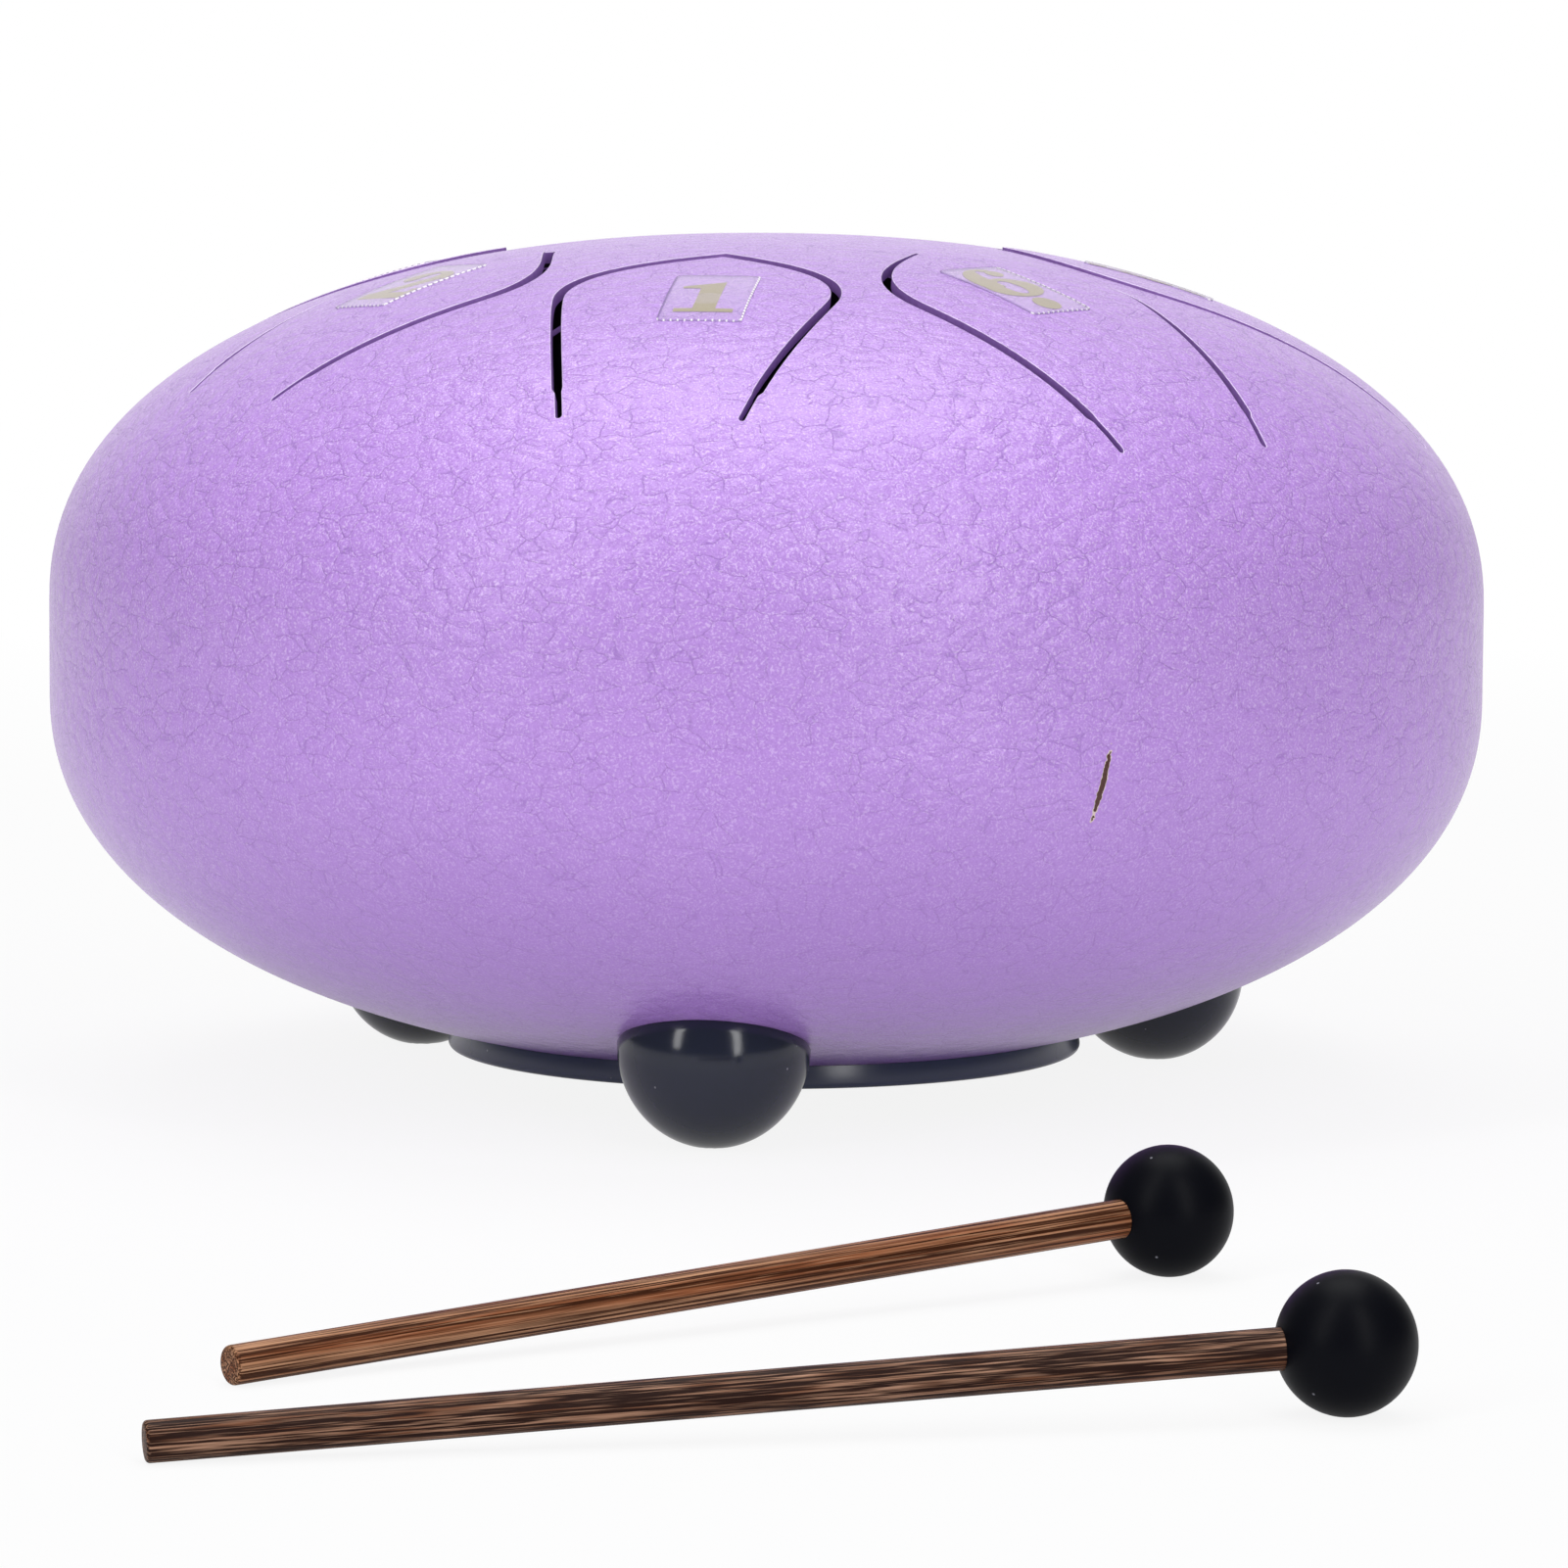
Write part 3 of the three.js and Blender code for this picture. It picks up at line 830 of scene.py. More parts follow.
def mitred_sides(line: np.ndarray) -> np.ndarray:
    """Directions to the left of an open line, longer at corners so that a width is kept.

    Args:
        line: its points.

    Returns:
        The direction at each point.
    """
    along = np.diff(line, axis=0)
    along /= np.linalg.norm(along, axis=1, keepdims=True)
    left = np.column_stack([-along[:, 1], along[:, 0]])
    before = np.vstack([left[:1], left])
    after = np.vstack([left, left[-1:]])
    return (before + after) / (1 + np.sum(before * after, axis=1, keepdims=True))


def inside(loop: np.ndarray, points: np.ndarray) -> np.ndarray:
    """Says which points lie within a closed loop.

    Args:
        loop: the loop's points.
        points: the points that are asked about.

    Returns:
        True for each point inside.
    """
    x, y = points[:, :1], points[:, 1:]
    (x0, y0), (x1, y1) = loop.T, np.roll(loop, -1, axis=0).T
    crossed = (y0 > y) != (y1 > y)
    rise = np.where(np.abs(y1 - y0) < TINY, TINY, y1 - y0)
    return (crossed & (x < (x1 - x0) * (y - y0) / rise + x0)).sum(axis=1) % 2 == 1


def clear_of(loop: np.ndarray, points: np.ndarray, gap: float) -> np.ndarray:
    """Says which points stay at least a gap away from every point of a loop."""
    return np.linalg.norm(points[:, None] - loop[None], axis=2).min(axis=1) > gap


def ringed_points(limit: float, spacing: float) -> np.ndarray:
    """Lays points on rings round the axis.

    Args:
        limit: how far out they go.
        spacing: the distance between neighbours.

    Returns:
        The points.
    """
    rings = [np.zeros((1, 2))]
    for k in range(1, int(limit / spacing)):
        count = round(2 * math.pi * k)
        rings.append(k * spacing * ways_round(count, 0.5 * (k % 2)))
    return np.vstack(rings)


def rescaled(points: np.ndarray, before: np.ndarray, after: np.ndarray) -> np.ndarray:
    """Moves points in or out along their rays from the axis.

    Args:
        points: flat points.
        before: distances from the axis, rising.
        after: what each of these distances becomes.

    Returns:
        The moved points.
    """
    distance = np.hypot(points[:, 0], points[:, 1])
    return points * (np.interp(distance, before, after) / np.maximum(distance, TINY))[:, None]


def anticlockwise(points: np.ndarray, triangles: np.ndarray) -> np.ndarray:
    """Turns flat triangles over where they go clockwise.

    Args:
        points: flat points.
        triangles: the triangles' corners.

    Returns:
        The corners, all anticlockwise.
    """
    a, b, c = (points[triangles[:, i]] for i in range(3))
    turned = (b - a)[:, 0] * (c - a)[:, 1] - (b - a)[:, 1] * (c - a)[:, 0]
    return np.where((turned < 0)[:, None], triangles[:, ::-1], triangles)


def triangulate(loops: list[np.ndarray], fill: np.ndarray) -> tuple[np.ndarray, np.ndarray]:
    """Triangulates flat points, keeping the edges of closed loops.

    Args:
        loops: the outlines.
        fill: loose points between them.

    Returns:
        All points, the loops' first and in order, and triangles that go anticlockwise.
    """
    points = np.vstack([*loops, fill])
    edges, first = [], 0
    for loop in loops:
        count = len(loop)
        edges += [(first + i, first + (i + 1) % count) for i in range(count)]
        first += count
    found = delaunay_2d_cdt([Vector(p) for p in points], edges, [], 0, OUTLINE_MERGE)
    _, _, faces, origins, _, _ = found
    source = np.array([origin[0] for origin in origins])
    return points, anticlockwise(points, source[np.array(faces)])


# The drum's forms
@dataclass(frozen=True)
class PressedForm:
    """Outer face of a shell half: a superellipse turned round the drum's axis."""

    radius: float
    rise: float
    fullness: float
    base: float
    up: int
    reach_steps: int = 2000

    def height(self, radius: np.ndarray | float) -> np.ndarray:
        """Height of the face at a distance from the axis."""
        share = np.clip(np.asarray(radius) / self.radius, 0, 1) ** self.fullness
        return self.base + self.up * self.rise * (1 - share) ** (1 / self.fullness)

    def face(self, plan: np.ndarray, depth: float = 0.0) -> tuple[np.ndarray, np.ndarray]:
        """Lifts plan points to the face.

        Args:
            plan: the plan points.
            depth: how far under the face they end up.

        Returns:
            The lifted points, and the directions that the face looks there.
        """
        radius = np.hypot(plan[:, 0], plan[:, 1])
        height = self.height(radius)
        outward = np.maximum(radius, TINY) ** (self.fullness - 2) / self.radius ** self.fullness
        upward = np.abs(height - self.base) ** (self.fullness - 1) / self.rise ** self.fullness
        normals = np.column_stack([plan * outward[:, None], self.up * upward])
        normals /= np.linalg.norm(normals, axis=1, keepdims=True)
        return np.column_stack([plan, height]) - normals * depth, normals

    def reach(self) -> tuple[np.ndarray, np.ndarray]:
        """Measures distances along the face.

        Returns:
            Distances from the axis, and the same distances measured along the face.
        """
        radii = np.linspace(0, self.radius, self.reach_steps)
        steps = np.hypot(np.diff(radii), np.diff(self.height(radii)))
        return radii, np.concatenate([[0], np.cumsum(steps)])

    def spread(self, plan: np.ndarray) -> np.ndarray:
        """Plan points moved out to their distance along the face."""
        radii, reach = self.reach()
        return rescaled(plan, radii, reach)

    def gather(self, flat: np.ndarray) -> np.ndarray:
        """Points measured along the face moved back to the plan."""
        radii, reach = self.reach()
        return rescaled(flat, reach, radii)

    def profile(self, first: float, last: float, steps: int) -> list[tuple[float, float]]:
        """Follows the face between two distances from the axis.

        Args:
            first: the distance that it starts at.
            last: the distance that it ends at.
            steps: how many steps it takes.

        Returns:
            Radius and height of each point.
        """
        start, end = (math.acos((r / self.radius) ** (self.fullness / 2)) for r in (first, last))
        angles = np.linspace(start, end, steps + 1)
        radii = self.radius * np.maximum(np.cos(angles), 0) ** (2 / self.fullness)
        rises = self.rise * np.maximum(np.sin(angles), 0) ** (2 / self.fullness)
        return list(zip(radii.tolist(), (self.base + self.up * rises).tolist()))

    def under(self, depth: float) -> "PressedForm":
        """The same form with its radius and rise less by a depth."""
        return PressedForm(self.radius - depth, self.rise - depth, self.fullness, self.base, self.up)


@dataclass
class CutEdge:
    """Edge of a slot on one sheet, as plan points and the way each looks into the slot."""

    wall: np.ndarray
    look: np.ndarray

    def inset(self, distance: float) -> np.ndarray:
        """The edge moved back into its sheet."""
        return self.wall - self.look * distance


@dataclass
class CutLoop:
    """A petal's closed outline on one sheet: its cut edge, then the line across its root."""

    edge: CutEdge
    root: np.ndarray
    opens_inward: bool

    def outline(self, lip: float) -> np.ndarray:
        """Plan outline of the flat part of the sheet, inside the rounded lip."""
        return np.vstack([self.edge.inset(lip), self.root])


class SheetFace(IntEnum):
    """Which finish a face of the pressed sheet has."""

    LACQUER = 0
    INSIDE = 1
    CUT = 2


@dataclass
class PressedSheet:
    """A dome-shaped sheet with slots cut in it, whose edges have small rounded lips."""

    form: PressedForm
    thickness: float
    lip: float = 0.08
    # Strength of the highlight painted along each rounded lip
    lip_highlight: float = 0.9
    lip_steps: int = 4
    spacing: float = 1.8
    edge_room: float = 0.99

    def fill(self, draft: Draft, cuts: list[CutLoop], rim: np.ndarray | None,
             keep_inside: bool) -> tuple[np.ndarray, np.ndarray]:
        """Meshes the outer and inner face between outlines, and the lips and walls of the cuts.

        Args:
            draft: the piece that gets them.
            cuts: outlines that are cut edges.
            rim: plan points of a plain outer outline, if there is one.
            keep_inside: whether the sheet lies inside the cuts or outside them.

        Returns:
            The rim's points on the outer and the inner face.
        """
        plans = [cut.outline(self.lip) for cut in cuts] + ([] if rim is None else [rim])
        loops = [self.form.spread(plan) for plan in plans]
        limit = max(np.hypot(loop[:, 0], loop[:, 1]).max() for loop in loops)
        fill = ringed_points(limit + self.spacing, self.spacing)
        fill = fill[self.belongs(loops, len(cuts), fill, keep_inside)]
        for loop in loops:
            fill = fill[clear_of(loop, fill, self.edge_room)]
        flat, triangles = triangulate(loops, fill)
        middles = flat[triangles].mean(axis=1)
        triangles = triangles[self.belongs(loops, len(cuts), middles, keep_inside)]
        plan = np.vstack([*plans, self.form.gather(fill)])
        top, normals = self.form.face(plan)
        bottom, _ = self.form.face(plan, self.thickness)
        top_numbers = draft.add(top, normals)
        bottom_numbers = draft.add(bottom, -normals)
        for triangle in triangles:
            draft.face(top_numbers[triangle], SheetFace.LACQUER)
            draft.face(bottom_numbers[triangle], SheetFace.INSIDE, flip=True)
        first = 0
        for cut, outline in zip(cuts, plans):
            span = slice(first, first + len(outline))
            self.close_cut(draft, cut, top_numbers[span], bottom_numbers[span])
            first += len(outline)
        rim_span = slice(first, first + (0 if rim is None else len(rim)))
        return top_numbers[rim_span], bottom_numbers[rim_span]

    @staticmethod
    def belongs(loops: list[np.ndarray], cut_count: int, points: np.ndarray, keep_inside: bool) -> np.ndarray:
        """Says which flat points lie on the sheet.

        Args:
            loops: the outlines of the cuts, then the rim if there is one.
            cut_count: how many of them are cuts.
            points: the points that are asked about.
            keep_inside: whether the sheet lies inside the cuts or outside them.

        Returns:
            True for each point on the sheet.
        """
        kept = np.ones(len(points), bool)
        for i, loop in enumerate(loops):
            within = inside(loop, points)
            kept &= within if i >= cut_count or keep_inside else ~within
        return kept

    def close_cut(self, draft: Draft, cut: CutLoop, top: np.ndarray, bottom: np.ndarray) -> None:
        """Rounds the lip of a cut, with a highlight painted along it, and closes its wall, and the hidden
        wall across the root.

        Args:
            draft: the piece.
            cut: the outline.
            top: numbers of its points on the outer face.
            bottom: numbers of its points on the inner face.
        """
        edge, count = cut.edge, len(cut.edge.wall)
        rows = [top[:count]]
        for k in range(1, self.lip_steps + 1):
            angle = k / self.lip_steps * math.pi / 2
            back, down = self.lip * (1 - math.sin(angle)), self.lip * (1 - math.cos(angle))
            # A highlight is painted along the middle of the lip
            painted_highlight = self.lip_highlight * math.sin(2 * angle)
            rows.append(self.wall_row(draft, edge, back, down, angle, painted_highlight))
        rows.append(self.wall_row(draft, edge, 0.0, self.thickness, math.pi / 2, 0.0))
        rows.append(bottom[:count])
        for k, (upper, lower) in enumerate(zip(rows, rows[1:])):
            slot = SheetFace.LACQUER if k < self.lip_steps else SheetFace.CUT
            draft.bridge(upper, lower, slot, flip=cut.opens_inward)
        across_top = [*top[count - 1:], top[0]]
        down_right = [row[0] for row in rows[1:]]
        across_bottom = list(bottom[count:][::-1])
        up_left = [row[count - 1] for row in rows[:0:-1]]
        around = across_top + down_right + across_bottom + up_left
        draft.face(tuple(around), SheetFace.INSIDE, flip=not cut.opens_inward)

    def wall_row(self, draft: Draft, edge: CutEdge, back: float, down: float, angle: float,
                 painted_highlight: float) -> np.ndarray:
        """Adds one row of points along a lip or wall, facing between up and into the slot.

        Args:
            draft: the piece.
            edge: the cut edge.
            back: how far behind the edge the row lies.
            down: how far under the outer face it lies.
            angle: how far it is turned into the slot, in radians.
            painted_highlight: how strongly a highlight is painted there.

        Returns:
            The points' numbers.
        """
        points, normals = self.form.face(edge.inset(back), down)
        look = np.column_stack([edge.look, np.zeros(len(edge.look))])
        look -= normals * np.sum(look * normals, axis=1, keepdims=True)
        look /= np.linalg.norm(look, axis=1, keepdims=True)
        return draft.add(points, normals * math.cos(angle) + look * math.sin(angle), painted_highlight)


@dataclass(frozen=True)
class Petal:
    """One tongue: a petal with a narrow root near the rim and a pointed tip near the middle."""

    name: str
    digit: str
    azimuth: float
    root: float
    length: float
    half_sector: float
    label_shift: float
    label_from_tip: float
    label_turn: float
    slot_width: float = 1.05
    slot_end_width: float = 0.65
    slot_end_length: float = 3.3
    end_step: float = 0.12
    step_half: float = 0.3
    slot_bridge: float = 7.3
    broad_share: float = 0.38
    root_share: float = 0.64
    tip_half_angle: float = 54.0
    shoulder_handle: float = 7.3
    tip_handle: float = 6.4
    flank_handle: float = 0.135
    full_length: float = 38.2
    curve_steps: int = 30
    cap_steps: int = 8
    root_steps: int = 14
    bend_length: float = 7.0
    tip_rise: float = 0.0

    @property
    def tip(self) -> float:
        """Distance of the tip from the drum's axis."""
        return self.root - self.length

    @property
    def octave(self) -> int:
        """Octave of the note, from the middle one."""
        return self.name.startswith("high") - self.name.startswith("low")

    def settle(self, draft: Draft) -> None:
        """Lifts or sinks what lies on the cut tongue, more and more towards its tip.

        Args:
            draft: the tongue, or what rides on it.
        """
        a = math.radians(self.azimuth)
        outward = np.array([math.sin(a), -math.cos(a), 0.0])
        up = np.array([0.0, 0.0, self.tip_rise])
        shares = [np.clip((self.root - points @ outward) / self.length, 0, 1) for points in draft.points]
        draft.points = [points + np.outer(share, up) for points, share in zip(draft.points, shares)]

    def plan(self, points: np.ndarray) -> np.ndarray:
        """Turns points across and out from the axis, or directions, into the drum's plan.

        Args:
            points: the points or directions.

        Returns:
            The same in the plan.
        """
        a = math.radians(self.azimuth)
        turned = np.array([(math.cos(a), math.sin(a)), (math.sin(a), -math.cos(a))])
        return points @ turned

    def edge(self) -> np.ndarray:
        """Draws the petal's edge.

        Returns:
            Its points from the right root corner round the tip to the left one.
        """
        broadest = self.tip + self.broad_share * self.length
        half = broadest * math.tan(math.radians(self.half_sector)) - self.slot_bridge / 2 - self.slot_width
        scale = self.length / self.full_length
        lean = math.radians(self.tip_half_angle)
        straight = broadest + (self.root - broadest) * self.flank_handle
        handles = [(half * self.root_share, self.root), (half, straight), (half, broadest)]
        flank = bezier(handles, self.curve_steps)
        step = self.root - self.slot_end_length
        plain = flank[np.abs(flank[:, 1] - step) > 2 * self.step_half, 1]
        outs = np.sort([*plain, step - self.step_half, step + self.step_half])
        flank = np.column_stack([np.interp(outs, flank[::-1, 1], flank[::-1, 0]), outs])[::-1]
        shoulder = bezier([(half, broadest), (half, broadest - self.shoulder_handle * scale),
                           (self.tip_handle * scale * math.sin(lean),
                            self.tip + self.tip_handle * scale * math.cos(lean)),
                           (0.0, self.tip)], self.curve_steps)
        right = np.vstack([flank[:-1], shoulder])
        return np.vstack([right, right[-2::-1] * (-1, 1)])

    def cuts(self, lip: float) -> tuple[CutLoop, CutLoop]:
        """Outlines of the petal and of its window in the dome.

        Args:
            lip: radius of the rounded lips.

        Returns:
            The petal's outline and the window's.
        """
        edge = self.edge()
        side = mitred_sides(edge)
        past_end = self.root - edge[:, 1] - self.slot_end_length
        fine = np.clip(0.5 - past_end / (2 * self.step_half), 0, 1)[:, None]
        petal = edge + side * self.end_step * fine
        looks = mitred_sides(petal)
        far = edge + side * (self.slot_width + (self.slot_end_width + self.end_step - self.slot_width) * fine)
        first_cap = self.cap(petal[0], far[0])
        last_cap = self.cap(petal[-1] * (-1, 1), far[-1] * (-1, 1))[::-1] * (-1, 1)
        window = np.vstack([first_cap, far, last_cap])
        window_looks = -mitred_sides(window)
        window_looks[0], window_looks[-1] = looks[0], looks[-1]
        right, left = petal[0] - looks[0] * lip, petal[-1] - looks[-1] * lip
        share = np.linspace(0, 1, self.root_steps + 1)[1:-1, None]
        root = self.plan(left * (1 - share) + right * share)
        return (CutLoop(CutEdge(self.plan(petal), self.plan(looks)), root, opens_inward=False),
                CutLoop(CutEdge(self.plan(window), self.plan(window_looks)), root, opens_inward=True))

    def cap(self, near: np.ndarray, far: np.ndarray) -> np.ndarray:
        """Rounds the end of the slot at the right root corner.

        Args:
            near: the end of the petal's edge.
            far: the end of the window's edge.

        Returns:
            Points from near up to far, without far itself.
        """
        middle, reach = (near + far) / 2, (far - near) / 2
        beyond = np.array([-reach[1], reach[0]])
        angles = np.linspace(0, math.pi, self.cap_steps + 1)[:-1, None]
        return middle - reach * np.cos(angles) + beyond * np.sin(angles)

    def label_plan(self, points: np.ndarray) -> np.ndarray:
        """Turns points on the label into the drum's plan.

        Args:
            points: how far right and up they are as the label is read.

        Returns:
            The plan points.
        """
        turn = math.radians(self.label_turn)
        x = points[:, 0] * math.cos(turn) - points[:, 1] * math.sin(turn) + self.label_shift
        y = points[:, 0] * math.sin(turn) + points[:, 1] * math.cos(turn)
        return self.plan(np.column_stack([x, self.tip + self.label_from_tip - y]))


@dataclass(frozen=True)
class Band:
    """One stroke of a digit: a stretch of an oval ring, from a start to an end angle in degrees."""

    middle: tuple[float, float]
    outer: tuple[float, float]
    inner: tuple[float, float]
    start: float = 0.0
    end: float = 360.0
    steps: int = 28

    def outline(self) -> np.ndarray:
        """Points round the stroke."""
        ways = ways_at(np.radians(np.linspace(self.start, self.end, self.steps + 1)))
        return np.vstack([ways * self.outer, ways[::-1] * self.inner]) + self.middle


@dataclass(frozen=True)
class Digits:
    """Bold slab-serif digits, drawn from strokes in millimetres about the label's middle."""

    height: float = 8.9
    half_width: float = 3.0
    round_half: float = 3.5
    slab: float = 0.85
    stem: float = 2.3
    ball: float = 1.0
    dot: float = 1.5
    dot_out: float = 4.5
    make_room: float = 1.9

    def strokes(self, digit: str, octave: int) -> list[np.ndarray]:
        """Outlines whose union is the digit, with the dot of a low octave under it or of a high one over it.

        Args:
            digit: one of 1, 2, 3, 5 and 6.
            octave: -1, 0 or 1.

        Returns:
            Closed outlines that may overlap.
        """
        w = self.half_width if digit == "1" else self.round_half
        h, slab, half_stem, ball = self.height, self.slab, self.stem / 2, self.ball
        low, high = h * 0.31, h * 0.74
        solid = (TINY, TINY)
        if digit == "1":
            flag = np.array([(-half_stem, h - 2.1), (half_stem, h - 2.1), (half_stem, h), (-w, h - 1.5),
                             (-w, h - 2.0)])
            parts = [self.box(-w, 0, w, slab), self.box(-half_stem, 0, half_stem, h - 1.5), flag]
        elif digit == "2":
            sweep = np.array([(w * 0.95, high), (w * 0.3, high - 0.3), (-w, slab), (-w * 0.1, slab * 1.6)])
            bowl = Band((0, high - 0.15), (w * 0.95, h - high + 0.15), (w * 0.3, h * 0.19), -10, 190)
            parts = [bowl.outline(), Band((-w * 0.62, high - 0.35), (ball, ball), solid).outline(), sweep,
                     self.box(-w, 0, w, slab * 1.9), self.box(w - 0.6, 0, w, slab * 3.2)]
        elif digit == "3":
            bowl = Band((0, high - 0.2), (w * 0.9, h - high + 0.2), (w * 0.25, h * 0.2), -85, 175)
            parts = [bowl.outline(), Band((0, low), (w, low), (w * 0.3, low * 0.74), -170, 85).outline(),
                     Band((-w * 0.58, h * 0.78), (ball * 0.9, ball * 0.9), solid).outline(),
                     Band((-w * 0.6, h * 0.24), (ball, ball), solid).outline(),
                     self.box(-w * 0.35, h * 0.5, w * 0.3, h * 0.6)]
        elif digit == "5":
            parts = [Band((0, low), (w, low), (w * 0.28, low * 0.74), -165, 120).outline(),
                     Band((-w * 0.58, h * 0.22), (ball, ball), solid).outline(),
                     self.box(-w * 0.8, low, -w * 0.55, h), self.box(-w * 0.8, h - slab * 1.9, w * 0.85, h)]
        else:
            parts = [Band((0, low), (w, low), (w * 0.32, low * 0.72)).outline(),
                     Band((w * 0.1, h / 2), (w * 1.1, h / 2), (w * 0.32, h * 0.44), 62, 200).outline(),
                     Band((w * 0.5, h * 0.8), (ball, ball), solid).outline()]
        strokes = [part - (0, h / 2 + octave * self.make_room) for part in parts]
        if octave:
            strokes.append(Band((0, octave * self.dot_out), (self.dot, self.dot), solid).outline())
        return strokes

    @staticmethod
    def box(left: float, low: float, right: float, high: float) -> np.ndarray:
        """Corners of an upright rectangle."""
        return np.array([(left, low), (right, low), (right, high), (left, high)])

    def triangles(self, digit: str, octave: int) -> tuple[np.ndarray, np.ndarray]:
        """Joins a digit's strokes into one flat form.

        Args:
            digit: one of 1, 2, 3, 5 and 6.
            octave: -1, 0 or 1.

        Returns:
            Its points and triangles.
        """
        points, strokes = [], []
        for outline in self.strokes(digit, octave):
            strokes.append(list(range(len(points), len(points) + len(outline))))
            points += [Vector(p) for p in outline]
        vertices, _, faces, _, _, strokes_of = delaunay_2d_cdt(points, [], strokes, 0, STROKE_MERGE)
        kept = [corners for corners, within in zip(faces, strokes_of) if within]
        used = sorted({c for corners in kept for c in corners})
        renumber = {old: new for new, old in enumerate(used)}
        flat = np.array([vertices[i][:] for i in used])
        return flat, np.array([[renumber[c] for c in corners] for corners in kept])


# The drum
@dataclass
class Drum:
    """Steel drum: two shell halves, and eight petals with their labels."""

    sheet: float = 1.2
    band_height: float = 9.6
    dome_fullness: float = 2.2
    bowl_fullness: float = 2.15
    bowl_depth: float = 38.8
    seam_gap: float = 0.3
    hole_radius: float = 30.5
    lap_height: float = 6.0
    joggle: float = 3.0
    low_sector: float = 48.8
    low_count: int = 4
    first_azimuth: float = -10.3
    first_length: float = 38.2
    around: int = 256
    crown_radius: float = 72.0
    skirt_steps: int = 10
    band_steps: int = 6
    bowl_steps: int = 60
    bowl_inside_steps: int = 40
    lacquer: WrinkleLacquer = WrinkleLacquer("sprayed_wrinkle_lacquer")
    inner: SheetInside = SheetInside("inner_steel_painted_shade")
    cut_wall: CutWall = CutWall("laser_cut_wall")
    film: ClearVinyl = ClearVinyl("clear_vinyl_film")
    film_edge: CutVinylEdge = CutVinylEdge("cut_vinyl_edge")
    ink: PrintedInk = PrintedInk("pale_gold_screen_ink")

    def __post_init__(self) -> None:
        """Reads the body's radius and heights from the frame and makes the finishes."""
        low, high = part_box("top_shell")
        self.radius = high.x / MM
        self.seam = low.z / MM
        self.dome_base = self.seam + self.band_height
        rise = high.z / MM - self.dome_base
        rim = self.seam - self.seam_gap
        self.dome = PressedForm(self.radius, rise, self.dome_fullness, self.dome_base, 1)
        self.bowl = PressedForm(self.radius, self.bowl_depth, self.bowl_fullness, rim, -1)
        self.pressed = PressedSheet(self.dome, self.sheet)
        self.paints = [self.lacquer.make(), self.inner.make(), self.cut_wall.make()]
        self.label_paints = [self.film.make(), self.film_edge.make(), self.ink.make()]

    def petals(self) -> list[Petal]:
        """Places the eight tongues.

        Returns:
            The tongues, low to high and clockwise seen from above.
        """
        # Name, digit, semitones above the tongue numbered 1, root's distance from the rim,
        # and the label's shift across, distance from the tip and turn
        rows = [
            ("low_5", "5", -5, 7.1, 0.4, 15.5, -2),
            ("low_6", "6", -3, 8.7, -0.6, 15.2, 6),
            ("1", "1", 0, 12.1, 1.6, 16.4, 2),
            ("2", "2", 2, 12.8, -2.0, 14.6, 8),
            ("3", "3", 4, 13.0, -0.5, 14.2, -3),
            ("5", "5", 7, 13.5, 0.3, 13.4, 2),
            ("6", "6", 9, 14.0, -0.3, 12.8, 1),
            ("high_1", "1", 12, 14.7, 0.5, 12.0, -2),
        ]
        # How far the tuning left a tip above the dome, or under it
        rises = {"low_5": 0.3, "low_6": 0.36, "1": -0.16, "2": 0.3, "3": 0.4}
        high_sector = (360 - self.low_count * self.low_sector) / (len(rows) - self.low_count)
        sectors = [self.low_sector if i < self.low_count else high_sector for i in range(len(rows))]
        middles = np.cumsum(sectors) - np.array(sectors) / 2
        start = next(i for i, row in enumerate(rows) if row[2] == 0)
        petals = []
        for (name, digit, pitch, inset, shift, from_tip, turn), sector, middle in zip(rows, sectors, middles):
            petals.append(Petal(
                name, digit, self.first_azimuth - (middle - middles[start]), self.radius - inset,
                self.first_length * 2 ** (-pitch / 24), sector / 2, shift, from_tip, turn,
                tip_rise=rises.get(name, 0.0)))
        return petals

    def build(self) -> None:
        """Builds and dresses every piece of the drum."""
        petals = self.petals()
        self.build_dome(petals)
        self.build_bowl()
        for petal in petals:
            self.build_petal(petal)
            self.build_label(petal)

    def build_dome(self, petals: list[Petal]) -> None:
        """Presses the top shell.

        Args:
            petals: the tongues that it has windows for.
        """
        draft = Draft()
        ways = ways_round(self.around)
        windows = [petal.cuts(self.pressed.lip)[1] for petal in petals]
        upper, lower = self.pressed.fill(draft, windows, ways * self.crown_radius, keep_inside=False)
        skirt = self.dome.profile(self.crown_radius, self.radius, self.skirt_steps)[1:]
        heights = np.linspace(self.dome_base, self.seam, self.band_steps + 1)[1:]
        band = [(self.radius, z) for z in heights]
        for radius, height in skirt + band:
            if height > self.dome_base + TINY:
                points, normals = self.dome.face(ways * min(radius, self.radius))
            else:
                normals = np.column_stack([ways, np.zeros(self.around)])
                points = np.column_stack([ways * self.radius, np.full(self.around, height)])
            next_upper = draft.add(points, normals)
            next_lower = draft.add(points - normals * self.sheet, -normals)
            draft.bridge(upper, next_upper, SheetFace.LACQUER, closed=True)
            draft.bridge(lower, next_lower, SheetFace.INSIDE, closed=True, flip=True)
            upper, lower = next_upper, next_lower
        draft.bridge(upper, lower, closed=True)
        piece = draft.build("dome_skin", self.paints)
        self.dress(piece, "drum", "lacquered_steel", "top_shell")

